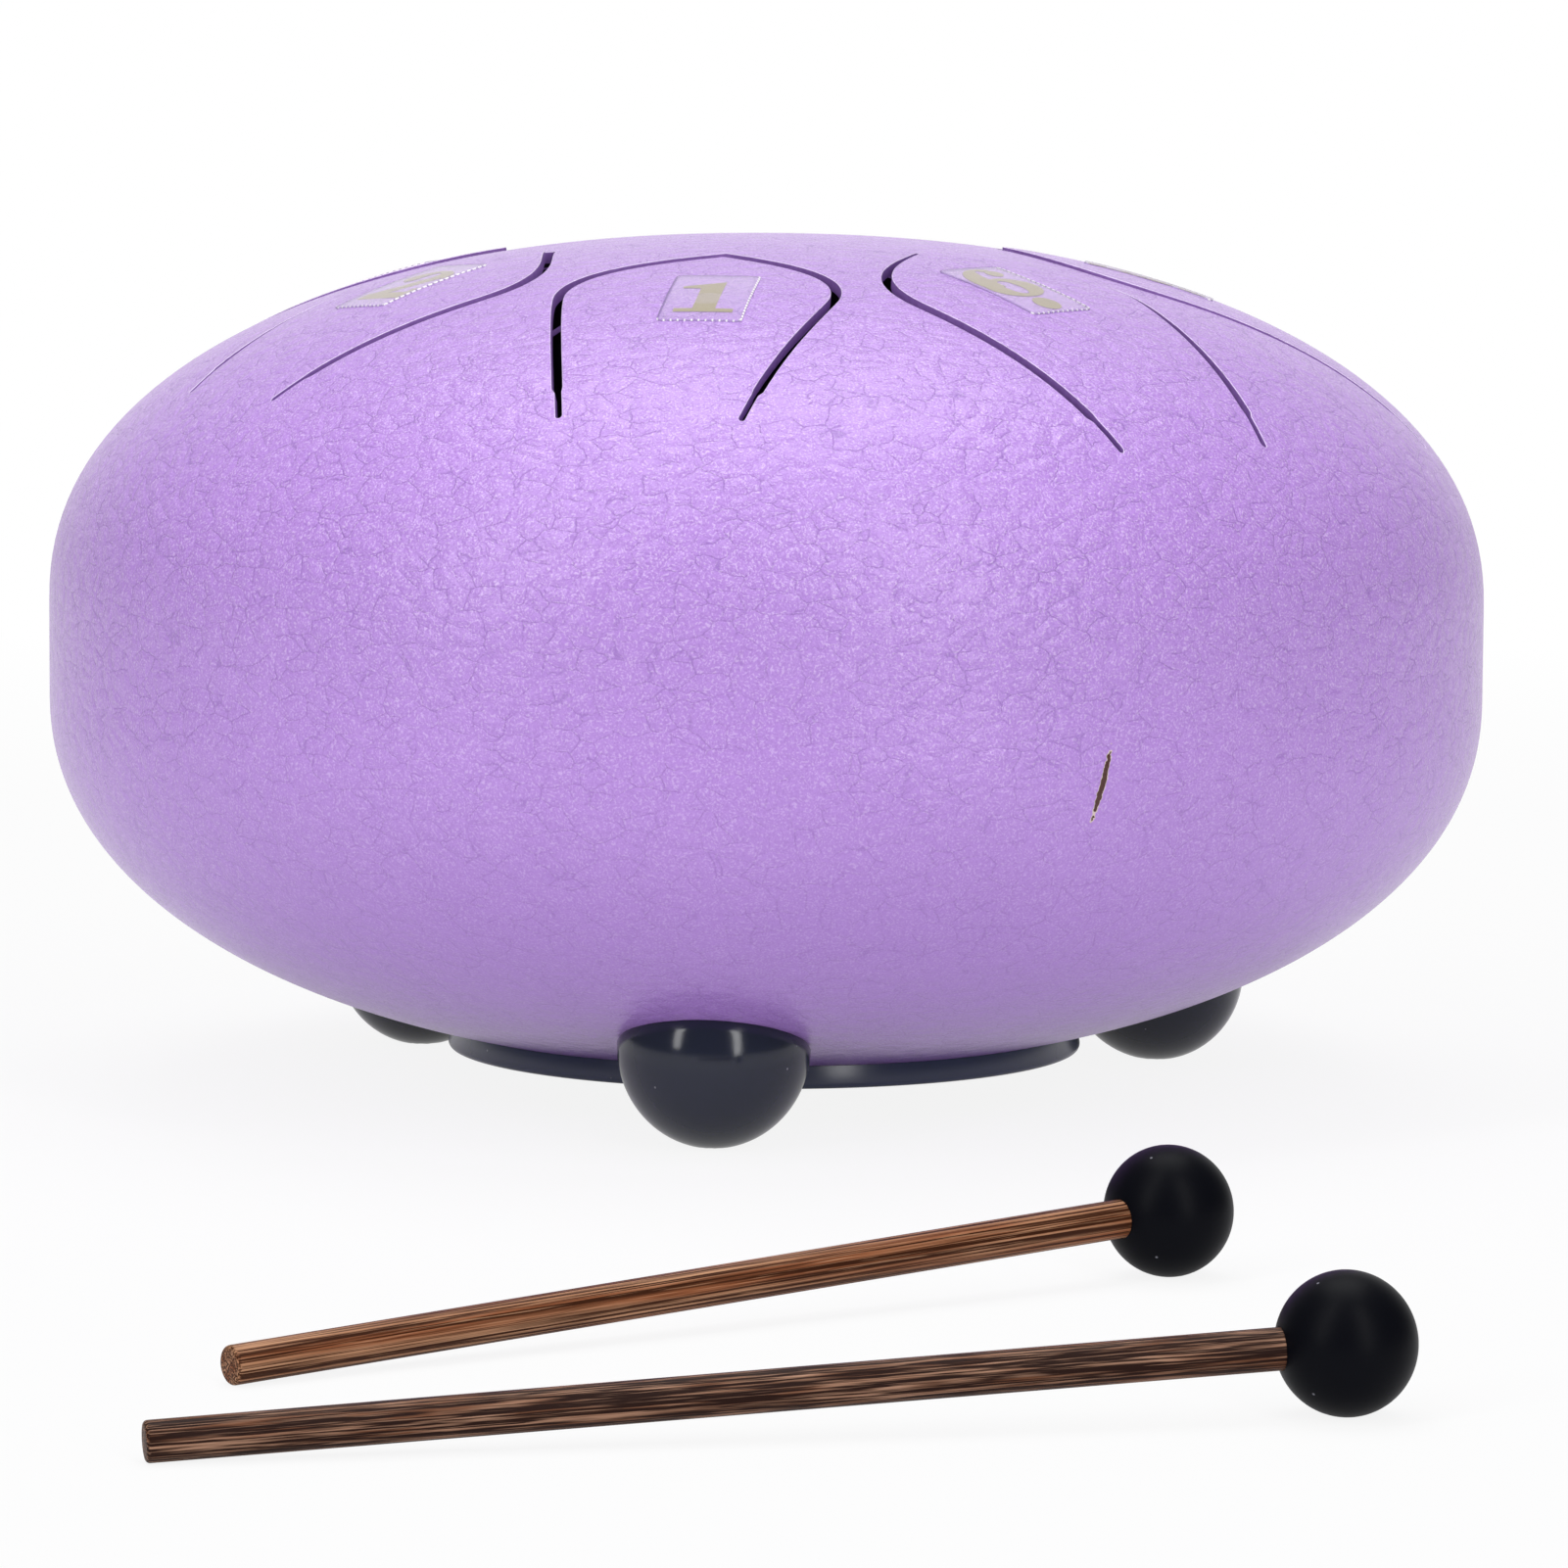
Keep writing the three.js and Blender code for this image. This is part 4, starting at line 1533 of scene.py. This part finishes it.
    def build_bowl(self) -> None:
        """Presses the bottom shell, with its joggled lip and the sound hole."""
        inner = self.bowl.under(self.sheet)
        lip_outer = inner.radius - self.seam_gap
        lip_inner = lip_outer - self.sheet
        drop = (self.joggle / inner.rise) ** inner.fullness
        inner_start = inner.radius * (1 - drop) ** (1 / inner.fullness)
        hole = self.hole_radius
        outside = [(self.radius, self.seam)] + self.bowl.profile(self.radius, hole, self.bowl_steps)
        inside_face = inner.profile(hole, inner_start, self.bowl_inside_steps)
        lip = [(lip_inner, self.bowl.base - self.sheet), (lip_inner, self.bowl.base + self.lap_height),
               (lip_outer, self.bowl.base + self.lap_height), (lip_outer, self.seam)]
        draft = Draft()
        draft.turn(outside + inside_face + lip, self.around)
        lacquered = (len(outside) - 1) * self.around
        plain = len(draft.faces) - lacquered
        draft.slots = [SheetFace.LACQUER] * lacquered + [SheetFace.INSIDE] * plain
        piece = draft.build("bowl_skin", self.paints)
        self.dress(piece, "drum", "lacquered_steel", "bottom_shell")

    def build_petal(self, petal: Petal) -> None:
        """Cuts one tongue, in place of its node.

        Args:
            petal: the tongue.
        """
        draft = Draft()
        self.pressed.fill(draft, [petal.cuts(self.pressed.lip)[0]], None, keep_inside=True)
        petal.settle(draft)
        piece = draft.build(f"petal_{petal.name}", self.paints)
        ends = petal.plan(np.array([(0.0, petal.root), (0.0, petal.root - petal.bend_length)]))
        start, end = self.dome.face(ends)[0] * MM
        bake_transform(piece)
        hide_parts(f"tongue_{petal.name}")

    def build_label(self, petal: Petal) -> None:
        """Sticks a film with a printed digit on a tongue.

        Args:
            petal: the tongue.
        """
        draft = Draft()
        Label().build(draft, self.dome, petal)
        petal.settle(draft)
        piece = draft.build(f"film_{petal.name}", self.label_paints)
        self.dress(piece, f"tongue_{petal.name}", "label_film", f"label_{petal.name}")

    @staticmethod
    def dress(piece: bpy.types.Object, body: str, slot: str, *nodes: str) -> None:
        """Lets a piece ride on a body, and hides the nodes that it stands for.

        Args:
            piece: the piece.
            body: the body that it rides on.
            slot: not used.
            nodes: the nodes that it replaces.
        """
        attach(piece, body)
        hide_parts(*nodes)


class FilmPart(IntEnum):
    """Which finish a face of a label has."""

    FILM = 0
    EDGE = 1
    INK = 2


@dataclass
class Label:
    """A film rectangle with a printed digit."""

    width: float = 8.6
    length: float = 13.5
    corner: float = 0.6
    least_corner: float = 0.2
    corner_steps: int = 5
    rest: float = 0.02
    thickness: float = 0.14
    ink: float = 0.02
    rim: float = 0.18
    spacing: float = 0.9
    edge_room: float = 0.45
    edge_spacing: float = 0.175
    glint_spacing: float = 0.7
    side_glint: float = 0.6
    side_swing: float = 0.4
    foot_glint: float = 0.3
    foot_swing: float = 0.35

    def outline(self, inset: float) -> np.ndarray:
        """Draws the film's rounded rectangle.

        Args:
            inset: how far it lies inside the cut edge.

        Returns:
            Its points.
        """
        half = np.array([self.width / 2 - inset, self.length / 2 - inset])
        corner = max(self.corner - inset, self.least_corner)
        points = []
        for quarter, (sx, sy) in enumerate(((1, 1), (-1, 1), (-1, -1), (1, -1))):
            angles = math.pi / 2 * (quarter + np.linspace(0, 1, self.corner_steps + 1))
            points.append(ways_at(angles) * corner + (half - corner) * (sx, sy))
        return self.divided(np.vstack(points))

    def divided(self, loop: np.ndarray) -> np.ndarray:
        """Divides the long sides of a closed loop.

        Args:
            loop: its corners.

        Returns:
            Its points, about as far apart as the edge's spacing.
        """
        points = []
        for a, b in zip(loop, np.roll(loop, -1, axis=0)):
            steps = max(1, round(np.linalg.norm(b - a) / self.edge_spacing))
            points += [a + (b - a) * k / steps for k in range(steps)]
        return np.array(points)

    def build(self, draft: Draft, form: PressedForm, petal: Petal) -> None:
        """Lays film, its cut edge and the ink on the dome.

        Args:
            draft: the piece.
            form: the dome's face.
            petal: the tongue that carries the label.
        """
        outer, inner = self.outline(0.0), self.outline(self.rim)
        grid = np.stack(np.meshgrid(
            np.arange(-self.width / 2, self.width / 2, self.spacing),
            np.arange(-self.length / 2, self.length / 2, self.spacing)), axis=-1).reshape(-1, 2)
        grid = grid[inside(inner, grid)]
        grid = grid[clear_of(inner, grid, self.edge_room)]
        flat, triangles = triangulate([outer, inner], grid)
        middles = flat[triangles].mean(axis=1)
        kept = inside(outer, middles)
        triangles, middles = triangles[kept], middles[kept]
        slots = np.where(inside(inner, middles), FilmPart.FILM, FilmPart.EDGE)
        top = self.rest + self.thickness
        self.slab(draft, form, petal.label_plan(flat), triangles, slots, self.rest, top, self.glints(flat))
        points, corners = Digits().triangles(petal.digit, petal.octave)
        slots = np.full(len(corners), FilmPart.INK)
        print_low = self.rest + self.ink
        self.slab(draft, form, petal.label_plan(points), corners, slots, print_low, print_low + self.ink)

    def glints(self, flat: np.ndarray) -> np.ndarray:
        """Sets painted glints along the film's right side, and fainter ones along its foot; its other sides
        get painted shade.

        Args:
            flat: points of the film.

        Returns:
            How brightly each of them glints.
        """
        x, y = flat.T
        on_right = x > self.width / 2 - self.corner
        on_foot = y < -self.length / 2 + self.corner
        beat = np.cos(2 * math.pi * np.where(on_right, y, x) / self.glint_spacing)
        along_side = self.side_glint + self.side_swing * beat
        along_foot = self.foot_glint + self.foot_swing * beat
        return np.where(on_right, along_side, on_foot * along_foot)

    @staticmethod
    def slab(draft: Draft, form: PressedForm, plan: np.ndarray, triangles: np.ndarray, slots: np.ndarray,
             low: float, high: float, pale: np.ndarray | None = None) -> None:
        """Lays a thin slab on the dome between two heights over its face.

        Args:
            draft: the piece.
            form: the dome's face.
            plan: plan points of the slab.
            triangles: corners of its flat faces.
            slots: the finish of each.
            low: height of its underside.
            high: height of its top.
            pale: how brightly a painted glint lights its points, if it does.
        """
        pale = np.zeros(len(plan)) if pale is None else pale
        upper_points, normals = form.face(plan, -high)
        lower_points, _ = form.face(plan, -low)
        triangles = anticlockwise(plan, triangles)
        upper, lower = draft.add(upper_points, normals, pale), draft.add(lower_points, -normals, pale)
        sides: dict[tuple[int, int], int] = {}
        for corners, slot in zip(triangles, slots):
            draft.face(upper[corners], int(slot))
            draft.face(lower[corners], int(slot), flip=True)
            for i in range(3):
                sides[(int(corners[i]), int(corners[(i + 1) % 3]))] = int(slot)
        for (i, j), slot in sides.items():
            if (j, i) not in sides:
                along = plan[j] - plan[i]
                outward = np.array([along[1], -along[0], 0.0]) / np.linalg.norm(along)
                wall = np.array([upper_points[i], lower_points[i], lower_points[j], upper_points[j]])
                draft.face(draft.add(wall, np.tile(outward + normals[i], (4, 1)), pale[[i, i, j, j]]), slot)


@dataclass
class Grommet:
    """Rubber ring round the sound hole, gripping the bowl's edge between two flanges."""

    drum: Drum
    wall: float = 3.5
    flange: float = 3.3
    lip: float = 1.5
    inner_lip: float = 1.8
    rounding: float = 0.6
    grip: float = 0.03
    clearance: float = 0.3
    taper: float = 0.3
    around: int = 180
    corner_steps: int = 5
    groove_points: int = 5
    rubber: MouldedRubber = MouldedRubber("moulded_ring_rubber", "#333B53", 0.22, shine=0.4)

    def build(self) -> None:
        """Turns the ring and lets it replace its node."""
        drum = self.drum
        bowl, inner = drum.bowl, drum.bowl.under(drum.sheet)
        bore, web = drum.hole_radius - self.wall, drum.hole_radius - self.grip
        edge = drum.hole_radius + self.flange
        bottom = float(bowl.height(web)) - self.clearance - self.lip
        top = float(inner.height(edge)) + self.clearance + self.inner_lip
        soft, steps = self.rounding, self.corner_steps
        groove = self.groove_points
        profile = [
            *bezier([(bore, bottom + soft), (bore, bottom), (bore + soft, bottom)], steps),
            *bezier([(edge - soft, bottom), (edge, bottom), (edge, bottom + soft)], steps),
            *((r, float(bowl.height(r)) - self.grip) for r in np.linspace(edge - self.taper, web, groove)),
            *((r, float(inner.height(r)) + self.grip) for r in np.linspace(web, edge, groove)),
            *bezier([(edge, top - soft), (edge, top), (edge - soft, top)], steps),
            *bezier([(bore + soft, top), (bore, top), (bore, top - soft)], steps),
        ]
        draft = Draft()
        draft.turn([(float(r), float(z)) for r, z in profile][::-1], self.around)
        piece = draft.build("grommet_ring", [self.rubber.make()])
        Drum.dress(piece, "drum", "grommet_rubber", "sound_hole_grommet")


class FootPlace(Enum):
    """Where a foot stands, in thirds of a turn from the front one."""

    FRONT = 0
    RIGHT = 1
    LEFT = 2


@dataclass
class Feet:
    """Three hemispherical rubber feet, each with a recess for its adhesive pad."""

    drum: Drum
    radius: float = 9.75
    height: float = 9.2
    gap: float = 3.15
    stand_off: float = 1.1
    first_azimuth: float = -6.2
    pad_room: float = 0.95
    seat_gap: float = 0.05
    edge_round: float = 0.35
    around: int = 96
    dome_steps: int = 24
    search: float = 3.0
    search_steps: int = 40
    rubber: MouldedRubber = MouldedRubber("moulded_foot_rubber", "#212635", 0.15, shine=0.4)
    foam: AdhesiveFoam = AdhesiveFoam("adhesive_foam")

    def build(self) -> None:
        """Builds each foot on the bowl and dresses its pad."""
        rubber, foam = self.rubber.make(), self.foam.make()
        for place in FootPlace:
            side = place.name.lower()
            piece = self.foot(place).build(f"foot_dome_{side}", [rubber])
            Drum.dress(piece, "drum", "foot_rubber", f"foot_{side}")
            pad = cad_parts[f"foot_pad_{side}"]
            pad.data.materials.clear()
            pad.data.materials.append(foam)
            log.info("foot_pad_%s: the frame's own solid, in foam", side)

    def foot(self, place: FootPlace) -> Draft:
        """One foot, square to the bowl, with its rim up against the lacquer and its tread flat on the table.

        Args:
            place: which of the three.

        Returns:
            Its draft.
        """
        bowl = self.drum.bowl
        circle = self.drum.hole_radius + Grommet.flange + self.gap + self.radius
        azimuth = math.radians(self.first_azimuth + 360 / len(FootPlace) * place.value)
        way = np.array([[math.sin(azimuth), -math.cos(azimuth)]])
        seat, normal = (rows[0] for rows in bowl.face(way * circle))
        axis = Vector(normal)
        aside = Vector((math.cos(azimuth), math.sin(azimuth), 0.0))
        frame_of_foot = np.array([aside, axis.cross(aside), axis]).T
        quarter = np.linspace(0, math.pi / 2, self.dome_steps + 1)
        reach = self.stand_off + self.height
        dome = [(self.radius * math.cos(a), reach * math.sin(a)) for a in quarter]
        recess = self.radius - self.pad_room
        soft = self.edge_round
        draft = Draft()
        profile = [(0.0, dome[-1][1])] + dome[-2::-1]
        profile += [(self.radius - soft, -soft), (recess, -soft)]
        profile += [(recess, self.stand_off), (0.0, self.stand_off)]
        draft.turn(profile, self.around)
        local = np.vstack(draft.points)
        on_rim = local[:, 2] < TINY
        world = local @ frame_of_foot.T + seat
        for i in np.flatnonzero(on_rim):
            lower = soft if local[i, 2] > -TINY else 0.0
            world[i] += self.rise_to_bowl(world[i], normal, bowl, local[i, 2] + lower) * normal
        world[:, 2] = np.maximum(world[:, 2], 0.0)
        draft.points = [world]
        return draft

    def rise_to_bowl(self, point: np.ndarray, normal: np.ndarray, bowl: PressedForm, lower: float) -> float:
        """How far a rim point moves along the foot's axis to lie just under the bowl's face.

        Args:
            point: the rim point on the seat's plane.
            normal: the foot's axis, away from the bowl.
            bowl: the bowl's face.
            lower: how far below the face it stays, besides the seat's gap.

        Returns:
            The distance, negative towards the bowl.
        """
        near, far = -self.search, self.search
        for _ in range(self.search_steps):
            middle = (near + far) / 2
            at = point + normal * middle
            outside = at[2] < float(bowl.height(math.hypot(at[0], at[1])))
            near, far = (near, middle) if outside else (middle, far)
        return far + self.seat_gap + lower


@dataclass
class Mallets:
    """Two turned sticks in moulded rubber balls, laid in front of the drum."""

    drum: Drum
    length: float = 103.2
    butt_radius: float = 1.68
    neck_radius: float = 1.76
    head_radius: float = 5.95
    head_half: float = 5.8
    end_wall: float = 4.1
    rounding: float = 0.35
    fit: float = 0.04
    socket_room: float = 0.3
    parting: float = 0.035
    parting_width: float = 0.14
    stick_around: int = 64
    stick_steps: int = 30
    easing_steps: int = 4
    ball_around: int = 96
    ball_steps: int = 64
    head: MouldedRubber = MouldedRubber("moulded_ball_rubber", "#090A10", 0.4, dust_spacing=3.2, shine=0.05)

    def build(self) -> None:
        """Builds both mallets where their nodes lie."""
        rubber = self.head.make()
        # Wood, then distance from the drum, sideways place of the head and turn of the stick
        rows = {
            "mallet_1": (TurnedPalmwood("red_palmwood", "#BE8E6C", "#8C5334", "#381804", Grain.STRAIGHT, 0.68,
                                        strand_width=0.2, strand_length=40.0),
                         "red_wood", 46.4, 36.4, 34.6),
            "mallet_2": (TurnedPalmwood("dark_palmwood", "#AA826A", "#6C442E", "#220A02", Grain.SLANTED, 0.84,
                                        strand_width=0.22, strand_length=8.0),
                         "dark_wood", 112.0, 47.0, 13.0),
        }
        for name, (wood, slot, away, aside, turn) in rows.items():
            place = self.place(away, aside, turn)
            stick = self.stick().build(f"{name}_turned_stick", [wood.make()], place)
            Drum.dress(stick, name, slot, f"{name}_stick")
            ball = self.ball().build(f"{name}_ball", [rubber], place)
            Drum.dress(ball, name, "head_rubber", f"{name}_head")

    def place(self, away: float, aside: float, turn: float) -> Matrix:
        """Lays a mallet down, its stick along X from the butt and leaning up to the middle of its ball.

        Args:
            away: distance of the ball from the drum.
            aside: how far right of the drum's middle the ball lies.
            turn: angle of the stick, in degrees.

        Returns:
            Where its own origin goes, in metres.
        """
        middle = self.length - self.head_half
        slant = math.hypot(middle, self.butt_radius)
        rise = math.asin(self.head_radius / slant) - math.atan2(self.butt_radius, middle)
        turned = Matrix.Rotation(math.radians(turn), 4, "Z") @ Matrix.Rotation(-rise, 4, "Y")
        head = Vector((aside, -(self.drum.radius + away), self.head_radius))
        start = head - turned @ Vector((middle, 0, 0))
        return Matrix.Translation(start * MM) @ turned

    @staticmethod
    def along_stick(draft: Draft) -> Draft:
        """Lays a turned draft down along X."""
        draft.points = [points[:, [2, 1, 0]] * (1, -1, 1) for points in draft.points]
        return draft

    def stick(self) -> Draft:
        """Turns the tapered stick with its eased ends.

        Returns:
            Its draft.
        """
        end = self.length - self.end_wall - self.socket_room
        soft = self.rounding
        easing = [(self.butt_radius - soft + soft * math.sin(a), soft - soft * math.cos(a))
                  for a in np.linspace(0, math.pi / 2, self.easing_steps + 1)]
        taper = self.neck_radius - self.butt_radius
        shaft = [(self.butt_radius + taper * share, soft + (end - 2 * soft) * share)
                 for share in np.linspace(0, 1, self.stick_steps + 1)[1:]]
        draft = Draft()
        profile = [(0.0, 0.0), *easing, *shaft, (self.neck_radius - soft, end), (0.0, end)]
        draft.turn(profile[::-1], self.stick_around)
        return self.along_stick(draft)

    def ball(self) -> Draft:
        """Turns the ball with its socket and the fine parting line that its mould left.

        Returns:
            Its draft.
        """
        middle = self.length - self.head_half
        socket = self.neck_radius + self.fit
        bottom = self.length - self.end_wall
        mouth = math.asin(socket / self.head_radius)
        profile = [(0.0, bottom), (socket, bottom)]
        for a in np.linspace(mouth, math.pi, self.ball_steps + 1):
            off = abs(a - math.pi / 2) * self.head_radius
            ridge = self.parting * max(0.0, 1 - off / self.parting_width)
            radius = (self.head_radius + ridge) * math.sin(a)
            profile.append((0.0 if a > math.pi - TINY else radius, middle - self.head_half * math.cos(a)))
        draft = Draft()
        draft.turn(profile[::-1], self.ball_around)
        return self.along_stick(draft)


# The studio
@dataclass
class Studio:
    """Plain pale floor, soft light and the photograph's camera; lamps are placed and sized in metres."""

    camera_distance: float = 747.1
    camera_elevation: float = 4.66
    camera_roll: float = 0.34
    focal_pixels: float = 7157.0
    target_height: float = 46.83
    target_pixel: tuple[float, float] = (782.6, 657.3)
    floor_size: float = 12000.0
    paper: WhitePaper = WhitePaper("white_paper_floor")
    ambient: float = 0.27
    mirrored_room: float = 0.12
    mirrored_backdrop: float = 0.85
    strip_distance: float = 2.0
    strip_size: tuple[float, float] = (0.34, 2.5)
    sheet_place: tuple[float, float, float] = (0.0, 0.3, 1.6)
    sheet_size: tuple[float, float] = (1.2, 1.2)
    sheet_power: float = 14.2
    sensor_width: float = 36.0

    def build(self) -> None:
        """Sets floor, world, lamps, camera and view transform."""
        self.build_floor()
        self.build_world()
        self.build_lamps()
        self.build_camera()
        bpy.context.scene.view_settings.view_transform = "Standard"

    def build_floor(self) -> None:
        """Lays out a wide sheet of paper."""
        square = np.array([(-1, -1, 0), (1, -1, 0), (1, 1, 0), (-1, 1, 0)])
        draft = Draft()
        draft.face(draft.add(square * self.floor_size / 2))
        floor = draft.build("floor", [self.paper.make()])

    def build_world(self) -> None:
        """White where it is seen, soft where it lights, and a dim room mirrored beside the backdrop."""
        world = bpy.data.worlds.new("white_studio")
        bpy.context.scene.world = world
        world.use_nodes = True
        tree = world.node_tree
        way = add_node(tree, "ShaderNodeTexCoord").outputs["Generated"]
        room = add_node(tree, "ShaderNodeMapRange", {
            "Value": add_node(tree, "ShaderNodeSeparateXYZ", {0: way}).outputs["Y"],
            "From Min": 0.5, "From Max": 0.95, "To Min": self.mirrored_room,
            "To Max": self.mirrored_backdrop}).outputs[0]
        level = self.ambient
        for ray, strength in ((mirrored_rays(tree), room),
                              (add_node(tree, "ShaderNodeLightPath").outputs["Is Camera Ray"], 1.0)):
            level = add_node(tree, "ShaderNodeMapRange", {
                "Value": ray, "To Min": level, "To Max": strength}).outputs[0]
        fill_sockets(tree, tree.nodes["Background"], {"Color": linear("#FFFFFF"), "Strength": level})

    def build_lamps(self) -> None:
        """Two tall strip boxes to the left and right of the camera, and a sheet overhead."""
        aim = Vector((0, 0, self.target_height * MM))
        # Azimuth, elevation and power
        strips = {"left_strip": (-44.0, 37.0, 18.0), "right_strip": (28.0, 31.0, 19.0)}
        for name, (azimuth, elevation, power) in strips.items():
            a, e = math.radians(azimuth), math.radians(elevation)
            way = Vector((math.sin(a) * math.cos(e), -math.cos(a) * math.cos(e), math.sin(e)))
            self.lamp(name, aim + way * self.strip_distance, aim, self.strip_size, power)
        self.lamp("overhead_sheet", Vector(self.sheet_place), aim, self.sheet_size, self.sheet_power)

    @staticmethod
    def lamp(name: str, place: Vector, aim: Vector, size: tuple[float, float], power: float) -> None:
        """Hangs one rectangular lamp.

        Args:
            name: the lamp's name.
            place: where it hangs, in metres.
            aim: the point that it faces.
            size: its width and height in metres.
            power: in watts.
        """
        data = bpy.data.lights.new(name, "AREA")
        data.shape = "RECTANGLE"
        data.size, data.size_y = size
        data.energy = power
        lamp = bpy.data.objects.new(name, data)
        bpy.context.scene.collection.objects.link(lamp)
        lamp.location = place
        lamp.rotation_euler = (aim - place).to_track_quat("-Z", "Y").to_euler()

    def build_camera(self) -> None:
        """Puts the camera at the photograph's angle, turned so that the drum falls where it does there."""
        data = bpy.data.cameras.new("camera")
        data.sensor_width = self.sensor_width
        data.lens = data.sensor_width * self.focal_pixels / IMAGE_SIDE
        data.clip_start, data.clip_end = 0.01, 100.0
        e, roll = math.radians(self.camera_elevation), math.radians(self.camera_roll)
        ahead = Vector((0, math.cos(e), -math.sin(e)))
        level = Vector((1, 0, 0))
        upright = level.cross(ahead)
        right = level * math.cos(roll) + upright * math.sin(roll)
        up = upright * math.cos(roll) - level * math.sin(roll)
        aside, below = (IMAGE_SIDE / 2 - pixel for pixel in self.target_pixel)
        aim = (ahead + right * aside / self.focal_pixels - up * below / self.focal_pixels).normalized()
        right = aim.cross(up).normalized()
        up = right.cross(aim)
        camera = bpy.data.objects.new("camera", data)
        bpy.context.scene.collection.objects.link(camera)
        turned = Matrix((right, up, -aim)).transposed().to_4x4()
        target = Vector((0, 0, self.target_height))
        camera.matrix_world = Matrix.Translation((target - ahead * self.camera_distance) * MM) @ turned
        bpy.context.scene.camera = camera


def main() -> None:
    """Builds the drum, its mallets and the studio."""
    logging.basicConfig(level=logging.INFO, format="%(message)s")
    drum = Drum()
    drum.build()
    Grommet(drum).build()
    Feet(drum).build()
    Mallets(drum).build()
    Studio().build()


if __name__ == "__main__":
    main()
